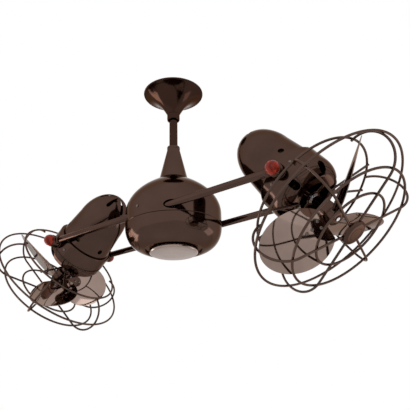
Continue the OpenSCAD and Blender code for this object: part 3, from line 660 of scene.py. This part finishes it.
class FAN_OT_canopy(bpy.types.Operator):
    """Canopy against the ceiling"""

    bl_idname = "fan.canopy"
    bl_label = "Canopy"

    def execute(self, context):
        finished(canopy_shape(), "canopy_bell", "canopy", finish="mount_bronze_painted_shade")
        return {"FINISHED"}


class FAN_OT_downrod(bpy.types.Operator):
    """Downrod and the cone at its foot"""

    bl_idname = "fan.downrod"
    bl_label = "Downrod and cone"

    def execute(self, context):
        finished(downrod_shape(), "downrod_tube", "downrod", finish="mount_bronze_painted_shade")
        finished(cone_shape(), "cone_sleeve", "cone_cover")
        return {"FINISHED"}


# ---- housing and bars


def bar_cutters(radius):
    """Rods along both bars, for cutting the housing."""
    y, z = bar_place()
    end = 200
    return joined(*[rod(radius, (-end, s * y, z), (end, s * y, z), 64) for s in (1, -1)])


def upper_shell_shape():
    """Domed shell with four round holes for the bars and dimples for two screws."""
    s = housing()
    top, shoulder, seam, _ = heights()
    wall, r, flat = s.wall, s.radius, mount().cone_radius
    roof, brow, cheek, gap = top - 3, top - 10.5, top - 34.5, 0.15
    dome = bezier([(flat, top), (flat + 15, brow), (r - 0.5, cheek), (r, shoulder)], 60)
    inside = bezier([(r - wall, shoulder), (r - 0.5 - wall, cheek - wall),
                     (flat + 14, brow - wall), (flat, roof)], 40)
    steps = [s.band_height * k / 8 for k in range(1, 8)]
    band = [(r, shoulder - step) for step in steps]
    inner_band = [(r - wall, seam + step) for step in steps]
    edge = [(r, seam + 0.9), (r - 0.8, seam + gap), (r - wall, seam + gap)]
    profile = ([(s.top_hole, top)] + dome + band + edge + inner_band + inside
               + [(s.top_hole, roof)])
    shell = combined(turned(profile, 192), bar_cutters(s.bar_hole))
    return combined(shell, side_screw_cutters())


def side_screw_cutters():
    """Dimples for the screws through the band."""
    r, radius, depth = housing().radius, 2.0, 6
    lift = Vector((0, 0, bar_place()[1] + 7.6))
    shapes = []
    for turn in (-95.3, 84.7):
        way = Vector((cos(radians(turn)), sin(radians(turn)), 0))
        shapes.append(rod(radius, way * (r - depth) + lift, way * (r + depth) + lift, 24))
    return joined(*shapes)


CAP_FLOOR = 4  # mm from the bowl's lip up to the bottom cap's recess


def lower_shell_shape():
    """Bowl with a bead round its recessed floor."""
    s = housing()
    _, _, seam, lip = heights()
    wall, r = s.wall, s.radius
    lip_out, lip_in, plug = s.cap_radius + 14, s.cap_radius + 9, s.cap_radius - 5.7
    floor = lip + CAP_FLOOR
    pan, hole, gap = floor + 7, 14, 0.15
    bowl = bezier([(r, seam - 0.9), (r - 0.5, seam - 31), (lip_out + 22, lip + 5),
                   (lip_out, lip)], 60)
    inside = bezier([(lip_out, lip + wall + 4), (lip_out + 21, lip + 5 + wall),
                     (r - 0.5 - wall, seam - 30), (r - wall, seam)], 30)
    bead = [(lip_out - 1.6, lip - 0.35), (lip_in + 1, lip - 0.2), (lip_in, lip + 0.8)]
    groove = [(lip_in, floor), (plug, floor), (plug, pan), (hole, pan), (hole, pan + wall),
              (plug + wall, pan + wall), (plug + wall, floor + wall)]
    spigot = [(r - wall, seam - 5), (r - wall - 2, seam - 5), (r - wall - 2, seam + 3),
              (r - wall - 0.05, seam + 3), (r - wall - 0.05, seam - gap), (r - 0.8, seam - gap)]
    return turned(bowl + bead + groove + inside[:-1] + spigot, 192)


def bottom_cap_shape():
    """Flat disc with a rounded edge and a plug that holds it in the bowl."""
    s = housing()
    floor = heights()[-1] + CAP_FLOOR
    low, r, plug = floor - s.cap_height, s.cap_radius, s.cap_radius - 6
    round_r, wall = 4, 2
    edge = [(r - round_r + round_r * sin(a), low + round_r - round_r * cos(a))
            for a in angles(pi / 2, 8)]
    face = [(0, low), (r * 0.5, low + 0.05)]
    back = [(r, floor), (plug, floor), (plug, floor + 5), (plug - wall, floor + 5),
            (plug - wall, floor - wall), (r - wall, floor - wall), (r - wall, low + 5),
            (r - 5, low + wall), (0, low + wall)]
    return turned(face + edge + back, 160, closed=False)


def bar_shape(side):
    """One of the two parallel tubes."""
    y, z = bar_place()
    low, high = box_mm("rear_bar")
    return rod(housing().bar_radius, (low.x, side * y, z), (high.x, side * y, z), 64, 0.3)


def hub_shape(name, side):
    """Both hubs at one end of the bars, with a raised ring round the stud."""
    s = housing()
    y, z = bar_place()
    r, bore = s.hub_radius, 5.05
    y_out = box_mm(f"{name}_bar_hubs")[1].y
    y_in = y * 2 - y_out
    hubs = []
    for s_y in (1, -1):
        ring = turned([(bore, y_in), (r - 1.5, y_in), (r, y_in + 1.5), (r, y_out - 2.2),
                       (r - 0.7, y_out - 0.8), (r - 2.2, y_out), (bore, y_out)], 72, edge=0.25)
        place = Matrix.Translation((side * s.reach, 0, z)) @ outward(s_y)
        sleeve = rod(s.bar_radius + 1.8, (side * (s.reach - 8), s_y * y, z),
                     (side * (s.reach - r - 7), s_y * y, z), 48, 0.8)
        hubs += [placed(ring, place), sleeve]
    return joined(*hubs)


class FAN_OT_housing(bpy.types.Operator):
    """Round housing: dome, bowl and bottom cap"""

    bl_idname = "fan.housing"
    bl_label = "Housing"

    def execute(self, context):
        finished(upper_shell_shape(), "housing_dome", "upper_shell")
        finished(lower_shell_shape(), "housing_bowl", "lower_shell")
        finished(bottom_cap_shape(), "housing_cap", "bottom_cap", finish="cap_bronze_painted_reflection")
        return {"FINISHED"}


class FAN_OT_bars(bpy.types.Operator):
    """Both bars and the hubs at their ends"""

    bl_idname = "fan.bars"
    bl_label = "Bars"

    def execute(self, context):
        finished(bar_shape(-1), "bar_front", "front_bar")
        finished(bar_shape(1), "bar_rear", "rear_bar")
        for name, side in SIDES.items():
            finished(hub_shape(name, side), f"{name}_pivot_hubs", f"{name}_bar_hubs")
        return {"FINISHED"}


# ---- motor heads


def head_shell_shape():
    """Bullet-shaped shell with vents round its pole, six round holes and notches for the studs."""
    s = head()
    start, step, front = s.shell_dome - s.shell_back, -26.0, 6.0
    widening = s.shell_front_radius - s.shell_rear_radius
    hole, at, inside, outside, notch, side = 6, -41, 45, 75, 13.5, 90

    def line(inset):
        rear, dome = s.shell_rear_radius - inset, s.shell_dome - inset
        arc = [(rear * sin(a), start - dome * cos(a)) for a in angles(pi / 2, 40)]
        cone = [(rear + widening * k / 10, start + (step - start) * k / 10) for k in range(1, 11)]
        return arc + cone + [(s.shell_front_radius - inset, front)]

    shell = turned(line(0) + line(s.shell_wall)[::-1], 160, closed=False)
    shell = combined(shell, teardrop_cutters())
    shell = combined(shell, turned_copies(rod(hole, (inside, 0, at), (outside, 0, at), 32), 6))
    return combined(shell, rod(notch, (0, -side, 0), (0, side, 0), 48))


def teardrop_cutters():
    """Six prisms, round and wide outside, narrow near the pole."""
    s = head()
    wide, narrow, out, near = 4.6, 1.4, 36.0, 9.0
    lean = asin((wide - narrow) / (out - near))
    big = oval((out, 0), (wide, wide), angles(pi + 2 * lean, 20, -pi / 2 - lean))
    small = oval((near, 0), (narrow, narrow), angles(pi - 2 * lean, 10, pi / 2 + lean))
    return turned_copies(prism(big + small, -s.shell_back - 1, s.shell_dome * 0.5), 6)


def bulkhead_shape():
    """Wall inside the shell, with four holes, that carries the rear bearing."""
    low, high, seat, edge, end = -114, -111, 15, 51.5, -122
    hole, across, shaft, mouth = 10, 32, 5.5, -110
    plate = turned([(seat, low), (edge, low), (edge, high), (seat, high)], 96)
    holes = turned_copies(rod(hole, (across, 0, -120), (across, 0, -100), 32), 4)
    boss = turned([(shaft, end), (seat, end), (seat, mouth), (11, mouth), (11, end + 2),
                   (shaft, end + 2)], 64)
    return joined(combined(plate, holes), boss)


def cover_face():
    """Radius at which the front cover's rounded shoulder begins."""
    return head().cover_radius - 23


def front_cover_shape():
    """Rounded cover with oval vents and an open mouth."""
    s = head()
    wall, r, mouth, front = s.cover_wall, s.cover_radius, s.mouth_radius, s.cover_front
    back, round_at, face, seat = -23.0, 14.0, cover_face(), s.shell_front_radius + 0.02

    def line(inset, count):
        radii = (r - inset - face, front - inset - round_at)
        return oval((face, round_at), radii, angles(pi / 2, count))

    side = [(r, back + 1.5 + (round_at - back - 1.5) * k / 8) for k in range(8)]
    profile = ([(seat, back), (r - 1.5, back), (r - 0.5, back + 0.5)] + side + line(0, 36)
               + [(mouth + 1, front), (mouth, front - 0.8), (mouth, front - wall)]
               + line(wall, 24)[::-1] + [(r - wall, back + 5), (seat, back + 5)])
    return combined(turned(profile, 160), vent_cutters())


def vent_cutters():
    """Six slots with round ends through the rounded shoulder."""
    s = head()
    length, width, lean, deep = 24.0, 15.0, radians(50), 40
    half = (length - width) / 2
    ends = oval((half, 0), (width / 2, width / 2), angles(pi, 16, -pi / 2))
    slot = prism(ends + [(-x, -y) for x, y in ends], -deep / 2, deep)
    shift = Matrix.Translation(((s.cover_radius + cover_face()) / 2 + 3, 0, s.cover_front - 11))
    return turned_copies(placed(slot, shift @ Matrix.Rotation(lean, 4, "Y")), 6, radians(30))


def spider_shape():
    """Four arms and the boss of the front bearing."""
    s = head()
    z, seat, shaft, r, wide, deep = s.cover_front, 11, 5.5, 15, 8, 7
    boss = turned([(shaft, z - 13), (r, z - 13), (r, z - 0.8), (r - 0.8, z), (seat, z),
                   (seat, z - 9), (shaft, z - 9)], 72)
    arm = bmesh.new()
    bmesh.ops.create_cube(arm, size=1)
    bmesh.ops.scale(arm, vec=(s.mouth_radius - seat, wide, deep), verts=arm.verts)
    soften(arm, 1.2, above=30)
    shifted(arm, (s.mouth_radius + 14) / 2, z - 4.5)
    return joined(boss, turned_copies(arm, 4))


def pivot_boss_shape():
    """Round bosses on both sides of the cover, where the studs come out."""
    r, bore, wide = head().cover_radius, 5, 13
    profile = [(bore, r - 11), (wide, r - 11), (wide, r + 2), (12.3, r + 2.7), (bore, r + 2.7)]
    return joined(*[swung(turned(profile, 64), -s_y * pi / 2, "X") for s_y in (1, -1)])


def fit_heads(shape, label, node):
    """Puts a shape in both heads, as pieces that stand for a node of each."""
    for name, side in SIDES.items():
        finished(shape.copy(), f"{name}_{label}", f"{name}_{node}", head_place(side))
    shape.free()


class FAN_OT_head_shells(bpy.types.Operator):
    """Motor shells of both heads"""

    bl_idname = "fan.head_shells"
    bl_label = "Head shells"

    def execute(self, context):
        fit_heads(joined(head_shell_shape(), bulkhead_shape()), "motor_shell", "head_shell")
        return {"FINISHED"}


class FAN_OT_front_covers(bpy.types.Operator):
    """Front covers of both heads"""

    bl_idname = "fan.front_covers"
    bl_label = "Front covers"

    def execute(self, context):
        shape = joined(front_cover_shape(), spider_shape(), pivot_boss_shape())
        fit_heads(shape, "motor_cover", "front_cover")
        return {"FINISHED"}


# ---- blades


def blade_rise(y):
    """Rise of a rolled blade at a distance from its middle line."""
    curve = head().blade_curve
    return curve - sqrt(curve ** 2 - y ** 2)


def blade_shape(index):
    """Rounded paddle: a disc drawn out, swept back, rolled across its width and given thickness."""
    s = head()
    reach = (s.blade_tip - 8) / 2
    loops, rim, band = 14, 0.02, 0.066
    bm = bmesh.new()
    bmesh.ops.create_circle(bm, cap_ends=True, radius=1, segments=120)

    def centre():
        return [face for face in bm.faces if len(face.verts) > 4]

    for k in range(loops):
        bmesh.ops.inset_region(bm, faces=centre(), thickness=band if k else rim,
                               use_even_offset=True)
    bmesh.ops.poke(bm, faces=centre())
    bmesh.ops.scale(bm, vec=(reach, s.blade_width / 2, 1), verts=bm.verts)
    for vert in bm.verts:
        vert.co.y -= s.blade_sweep * vert.co.x / reach
        vert.co.x += s.blade_tip - reach
    bmesh.ops.bisect_plane(bm, geom=bm.verts[:] + bm.edges[:] + bm.faces[:],
                           plane_co=(s.blade_hub + 2, 0, 0), plane_no=(-1, 0, 0), clear_outer=True)
    for vert in bm.verts:
        vert.co.z = blade_rise(vert.co.y)
    faced(bm)
    bmesh.ops.solidify(bm, geom=bm.faces[:], thickness=s.blade_thickness)
    shifted(bm, 0, s.blade_thickness / 2)
    above = [vert.co.z - blade_rise(vert.co.y) for vert in bm.verts]
    shifted(bm, 0, -(min(above) + max(above)) / 2)
    faced(bm)
    soften(bm, 0.45, above=50, segments=2)
    return placed(bm, blade_place(index))


IRON_THICKNESS = 3.0  # mm
IRON_RIVETS = ((30, -7), (30, 7), (46, 0), (58, 0))  # mm along and across a blade


def blade_hub_shape():
    """Turned hub with three pressed irons that hold the blades."""
    s = head()
    rear, front = s.blade_middle - 22, s.blade_middle + 14
    neck, r, shaft, sleeve, dent = s.cover_front + 4, s.blade_hub, 4, 9, front - 0.8
    hub = turned([(shaft, neck), (8, neck), (sleeve, neck + 1), (sleeve, rear), (r - 1.5, rear),
                  (r, rear + 1.5), (r, front - 5), (r - 0.6, front - 2.6), (r - 2.4, front - 0.9),
                  (r - 5, front), (7, front), (6.4, dent), (shaft, dent)], 96, edge=0.2)
    return joined(hub, *[placed(iron_shape(), blade_place(index)) for index in range(3)])


def iron_shape():
    """Flat arm with a round end, against the rear of a blade."""
    half, end = 13.0, 64.0
    low = -head().blade_thickness / 2 - IRON_THICKNESS
    shank = [(6, half * 0.75), (18, half * 0.75), (26, half)]
    tip = oval((end - half, 0), (half, half), angles(pi, 20, -pi / 2))
    outline = [(x, -y) for x, y in shank] + tip + shank[::-1]
    bm = prism(outline, low, IRON_THICKNESS - 0.02)
    soften(bm, 0.6, above=40, segments=2)
    return bm


def rivet_shape(low, high):
    """A rivet with a domed head at each end."""
    radius, stem, turns = 3.4, 2, angles(pi / 2, 6)
    tail = oval((0, low), (radius, -1.5), turns[::-1])
    dome = oval((0, high), (radius, 1.7), turns)
    return turned(tail + [(stem, low), (stem, high)] + dome, 24, closed=False)


def rivets_shape():
    """Four rivets in each blade."""
    half = head().blade_thickness / 2
    shapes = []
    for index in range(3):
        for x, y in IRON_RIVETS:
            rivet = rivet_shape(-half - IRON_THICKNESS, half + blade_rise(y))
            shapes.append(placed(rivet, blade_place(index) @ Matrix.Translation((x, y, 0))))
    return joined(*shapes)


class FAN_OT_blades(bpy.types.Operator):
    """Three blades in each head"""

    bl_idname = "fan.blades"
    bl_label = "Blades"

    def execute(self, context):
        for name, side in SIDES.items():
            for index in range(3):
                finished(blade_shape(index), f"{name}_paddle_{index + 1}",
                         f"{name}_blade_{index + 1}", head_place(side))
        return {"FINISHED"}


class FAN_OT_blade_hubs(bpy.types.Operator):
    """Blade hubs with their irons and rivets"""

    bl_idname = "fan.blade_hubs"
    bl_label = "Blade hubs"

    def execute(self, context):
        for name, side in SIDES.items():
            place = head_place(side)
            finished(blade_hub_shape(), f"{name}_spinner_hub", f"{name}_blade_hub", place)
            finished(rivets_shape(), f"{name}_rivets", f"{name}_blade_rivets", place)
        return {"FINISHED"}


# ---- guards


def ring_shape(radius, height, wire, steps=160):
    """A round wire ring."""
    bm = bmesh.new()
    bmesh.ops.create_circle(bm, radius=wire, segments=16)
    shifted(swung(bm, pi / 2, "X"), radius, height)
    whole_turn(bm, bm.verts[:] + bm.edges[:], steps)
    return faced(bm)


def wire_start(place, heading, wire):
    """The first round section of a wire."""
    bm = bmesh.new()
    bmesh.ops.create_circle(bm, cap_ends=True, radius=wire, segments=16)
    turn = Vector(heading).to_track_quat("Z", "Y").to_matrix().to_4x4()
    placed(bm, Matrix.Translation(place) @ turn)
    return bm, bm.verts[:] + bm.edges[:]


def straight(bm, section, way):
    """Runs a wire straight on, and returns its new end."""
    end = bmesh.ops.extrude_edge_only(bm, edges=only(BMEdge, section))["geom"]
    bmesh.ops.translate(bm, vec=way, verts=only(BMVert, end))
    return only((BMVert, BMEdge), end)


def bent(bm, section, centre, angle):
    """Bends a wire round an axis along Y, and returns its new end."""
    end = bmesh.ops.spin(bm, geom=section, cent=centre, axis=(0, 1, 0), angle=angle, steps=40)
    return only((BMVert, BMEdge), end["geom_last"])


def wire_end(bm, section):
    """Closes the end of a wire."""
    bmesh.ops.edgeloop_fill(bm, edges=only(BMEdge, section))
    return faced(bm)


def spoke_bend():
    """Start and height of a spoke's bend, its radius, and its angle past the vertical.

    The bend goes on from the straight run and touches the belly and the rear ring from inside.
    """
    s = guard()
    top = s.front_at + 2 * s.wire
    touch = 2 * s.wire - s.weld
    slope = (s.belly_at - s.rear_at) / (s.belly_radius - s.rear_radius)
    middle_r, middle_z = (s.belly_radius + s.rear_radius) / 2, (s.belly_at + s.rear_at) / 2
    shift = middle_r + slope * (middle_z - top)
    half = slope * (s.belly_radius - shift) + top - s.belly_at + touch
    rest = (s.belly_radius - shift) ** 2 + (top - s.belly_at) ** 2 - touch ** 2
    bend = (half - sqrt(half ** 2 - slope ** 2 * rest)) / slope ** 2
    middle = shift + slope * bend
    past_ring = radians(3)
    end = atan2(top - bend - s.rear_at, s.rear_radius - middle) + past_ring
    return middle, top - bend, bend, end


def spoke_shape():
    """A spoke: over the front rings and in one bend inside the belly ring to the rear ring."""
    start = 8.0
    middle, height, bend, end = spoke_bend()
    bm, section = wire_start((start, 0, height + bend), (1, 0, 0), guard().wire)
    section = straight(bm, section, (middle - start, 0, 0))
    section = bent(bm, section, (middle, 0, height), pi / 2 + end)
    return wire_end(bm, section)


def strut_shape():
    """A strut: a wire bent round its screw, with both ends on the rear ring."""
    s = guard()
    screw = 2.15
    eye_at, eye = (cover_face() + head().mouth_radius) / 2, screw + s.wire
    height = head().cover_front + s.wire
    ring = shifted(ring_shape(eye, 0, s.wire, 40), eye_at, height)
    legs = []
    for side in (1, -1):
        spread = side * radians(14.5)
        start = Vector((eye_at + 1, side * eye, height))
        end = Vector((s.rear_radius * cos(spread), s.rear_radius * sin(spread),
                      s.rear_at + 2 * s.wire - s.weld))
        legs.append(rod(s.wire, start, end, 16, 0.4))
    return joined(ring, *legs)


def guard_cap_shape():
    """Domed disc in the middle of the guard, with a fine groove."""
    s = guard()
    low, r, high, edge = s.front_at + 2 * s.wire, s.cap_radius, s.cap_height, 8
    top, groove_floor = low + high, low + high - 0.5
    dome = [(r - edge + edge * cos(a), low + high * (0.4 + 0.6 * sin(a)))
            for a in angles(pi / 2, 12)]
    groove = [(13, top), (12.6, groove_floor), (11.8, groove_floor), (11.4, top)]
    return turned([(0, low), (r, low)] + dome + groove + [(0, top)], 96, closed=False)


def guard_rings_shape():
    """Rear, belly, front and inner ring of a guard; the front ring lies in the spokes' bend."""
    s = guard()
    middle, height, bend, _ = spoke_bend()
    inside = bend - 2 * s.wire + s.weld
    on_bend = height + sqrt(inside ** 2 - (s.front_radius - middle) ** 2)
    rows = [(s.rear_radius, s.rear_at), (s.belly_radius, s.belly_at), (s.front_radius, on_bend),
            (s.inner_radius, s.front_at)]
    return joined(*[ring_shape(radius, place, s.wire) for radius, place in rows])


GUARD_TURN = {"right": radians(136), "left": radians(46)}  # of the first spoke and the struts


class FAN_OT_guards(bpy.types.Operator):
    """Wire guards: rings, spokes, struts and caps"""

    bl_idname = "fan.guards"
    bl_label = "Guards"

    def execute(self, context):
        for name, side in SIDES.items():
            turn = GUARD_TURN[name]
            shapes = {
                "rings": guard_rings_shape(),
                "spokes": turned_copies(spoke_shape(), guard().spokes, turn),
                "struts": turned_copies(strut_shape(), 2, turn),
                "cap": guard_cap_shape(),
            }
            for part, shape in shapes.items():
                finished(shape, f"{name}_wire_{part}", f"{name}_guard_{part}", head_place(side))
        return {"FINISHED"}


# ---- knobs and inner parts


def knob_shape(s_y):
    """Wooden ball with a flat face against the hub."""
    r, bore, depth = head().knob_radius, 4.05, 7
    stand, gap = 2.8, 0.3
    face = gap - stand
    start = asin(face / r)
    arc = oval((0, 0), (r, r), angles(pi / 2 - start, 28, start))
    ball = turned([(bore, face)] + arc + [(0, depth), (bore, depth)], 64, closed=False)
    middle = box_mm("right_bar_hubs")[1].y + stand
    return placed(ball, outward(s_y) @ Matrix.Translation((0, 0, middle)))


class FAN_OT_knobs(bpy.types.Operator):
    """Lacquered wooden balls that clamp the tilt"""

    bl_idname = "fan.knobs"
    bl_label = "Knobs"

    def execute(self, context):
        for name, side in SIDES.items():
            for where, s_y in (("front", -1), ("rear", 1)):
                finished(knob_shape(s_y), f"{name}_{where}_ball", f"{name}_{where}_knob",
                         head_place(side))
        return {"FINISHED"}


class FAN_OT_inner_parts(bpy.types.Operator):
    """Finishes of the pieces that keep the frame's own shape"""

    bl_idname = "fan.inner_parts"
    bl_label = "Inner parts"

    def execute(self, context):
        for node, thing in frame["nodes"].items():
            finish = finish_of(slot_holding(node))
            if not thing.material_slots:
                thing.data.materials.append(finish)
            for slot in thing.material_slots:
                slot.material = finish
        return {"FINISHED"}


# ---- stage


def camera_turn(stage):
    """Orientation of the camera from heading, pitch and roll."""
    a, p, roll = stage.heading, stage.pitch, stage.roll
    ahead = Vector((-sin(a) * cos(p), cos(a) * cos(p), sin(p)))
    right = Vector((cos(a), sin(a), 0))
    up = right.cross(ahead)
    side = right * cos(roll) + up * sin(roll)
    top = up * cos(roll) - right * sin(roll)
    return Matrix((side, top, -ahead)).transposed()


def make_camera(stage):
    """The camera of the photograph."""
    data = bpy.data.cameras.new("camera")
    data.sensor_width = 36
    data.lens = stage.lens
    data.clip_start, data.clip_end = 0.01, 50
    camera = linked("camera", data)
    camera.matrix_world = Matrix.Translation(stage.camera_at) @ camera_turn(stage).to_4x4()
    bpy.context.scene.camera = camera


def make_floor(stage):
    """A plain pale floor well below the fan."""
    bm = bmesh.new()
    bmesh.ops.create_grid(bm, x_segments=1, y_segments=1, size=6)
    floor = as_object(shifted(bm, 0, stage.floor_at), "floor")
    material, _, shader = new_finish("pale_floor")
    socket(shader, "Base Color", (0.86, 0.86, 0.86, 1))
    socket(shader, "Roughness", 0.9)
    floor.data.materials.append(material)


LAMP_TARGET = (0, 0, -0.3)
LAMPS = (  # name, place and size in metres, power in watts
    ("key", (-1.9, -0.2, -0.85), (0.9, 1.1), 12),
    ("rim", (1.05, 1.3, -1.05), (0.7, 0.7), 2),
)


def make_lamp(name, place, across, power):
    """A rectangular softbox that points at the fan."""
    data = bpy.data.lights.new(name, "AREA")
    data.shape = "RECTANGLE"
    data.size, data.size_y = across
    data.energy = power
    turn = (Vector(LAMP_TARGET) - Vector(place)).to_track_quat("-Z", "Y").to_matrix().to_4x4()
    linked(name, data).matrix_world = Matrix.Translation(place) @ turn


def make_world(stage):
    """White to the camera and in reflections, a softer level for everything else."""
    world = bpy.data.worlds.new("studio")
    bpy.context.scene.world = world
    world.use_nodes = True
    tree = world.node_tree
    path = tree.nodes.new("ShaderNodeLightPath")
    background = tree.nodes["Background"]
    background.inputs["Color"].default_value = (1, 1, 1, 1)
    seen = path.outputs["Is Camera Ray"]
    for name in ("Is Glossy Ray", "Is Transmission Ray"):
        most = tree.nodes.new("ShaderNodeMath")
        most.operation = "MAXIMUM"
        tree.links.new(seen, most.inputs[0])
        tree.links.new(path.outputs[name], most.inputs[1])
        seen = most.outputs[0]
    tree.links.new(span(tree, seen, stage.ambient, 1.0), background.inputs["Strength"])


class FAN_OT_stage(bpy.types.Operator):
    """Floor, soft light, white background and camera"""

    bl_idname = "fan.stage"
    bl_label = "Stage"

    def execute(self, context):
        stage = context.scene.fan_stage
        context.scene.view_settings.view_transform = "Standard"
        make_world(stage)
        make_floor(stage)
        make_camera(stage)
        for lamp in LAMPS:
            make_lamp(*lamp)
        return {"FINISHED"}


OPERATORS = (
    FAN_OT_canopy, FAN_OT_downrod, FAN_OT_housing, FAN_OT_bars, FAN_OT_head_shells,
    FAN_OT_front_covers, FAN_OT_blades, FAN_OT_blade_hubs, FAN_OT_guards, FAN_OT_knobs,
    FAN_OT_inner_parts, FAN_OT_stage,
)


class FAN_PT_panel(bpy.types.Panel):
    """Buttons for the pieces of the fan"""

    bl_label = "Ceiling fan"
    bl_idname = "FAN_PT_panel"
    bl_space_type = "VIEW_3D"
    bl_region_type = "UI"
    bl_category = "Ceiling fan"

    def draw(self, context):
        for operator in OPERATORS:
            self.layout.operator(operator.bl_idname)
        for name, group in GROUPS.items():
            box = self.layout.box()
            for field in group.__annotations__:
                box.prop(getattr(context.scene, name), field)


def register():
    """Registers the groups, operators and panel."""
    for name, group in GROUPS.items():
        bpy.utils.register_class(group)
        setattr(bpy.types.Scene, name, PointerProperty(type=group))
    for operator in OPERATORS:
        bpy.utils.register_class(operator)
    bpy.utils.register_class(FAN_PT_panel)


def unregister():
    """Takes them away again."""
    bpy.utils.unregister_class(FAN_PT_panel)
    for operator in reversed(OPERATORS):
        bpy.utils.unregister_class(operator)
    for name, group in GROUPS.items():
        delattr(bpy.types.Scene, name)
        bpy.utils.unregister_class(group)


def main():
    """Makes every piece in order."""
    register()
    for operator in OPERATORS:
        kind, name = operator.bl_idname.split(".")
        getattr(getattr(bpy.ops, kind), name)()


if __name__ == "__main__":
    main()
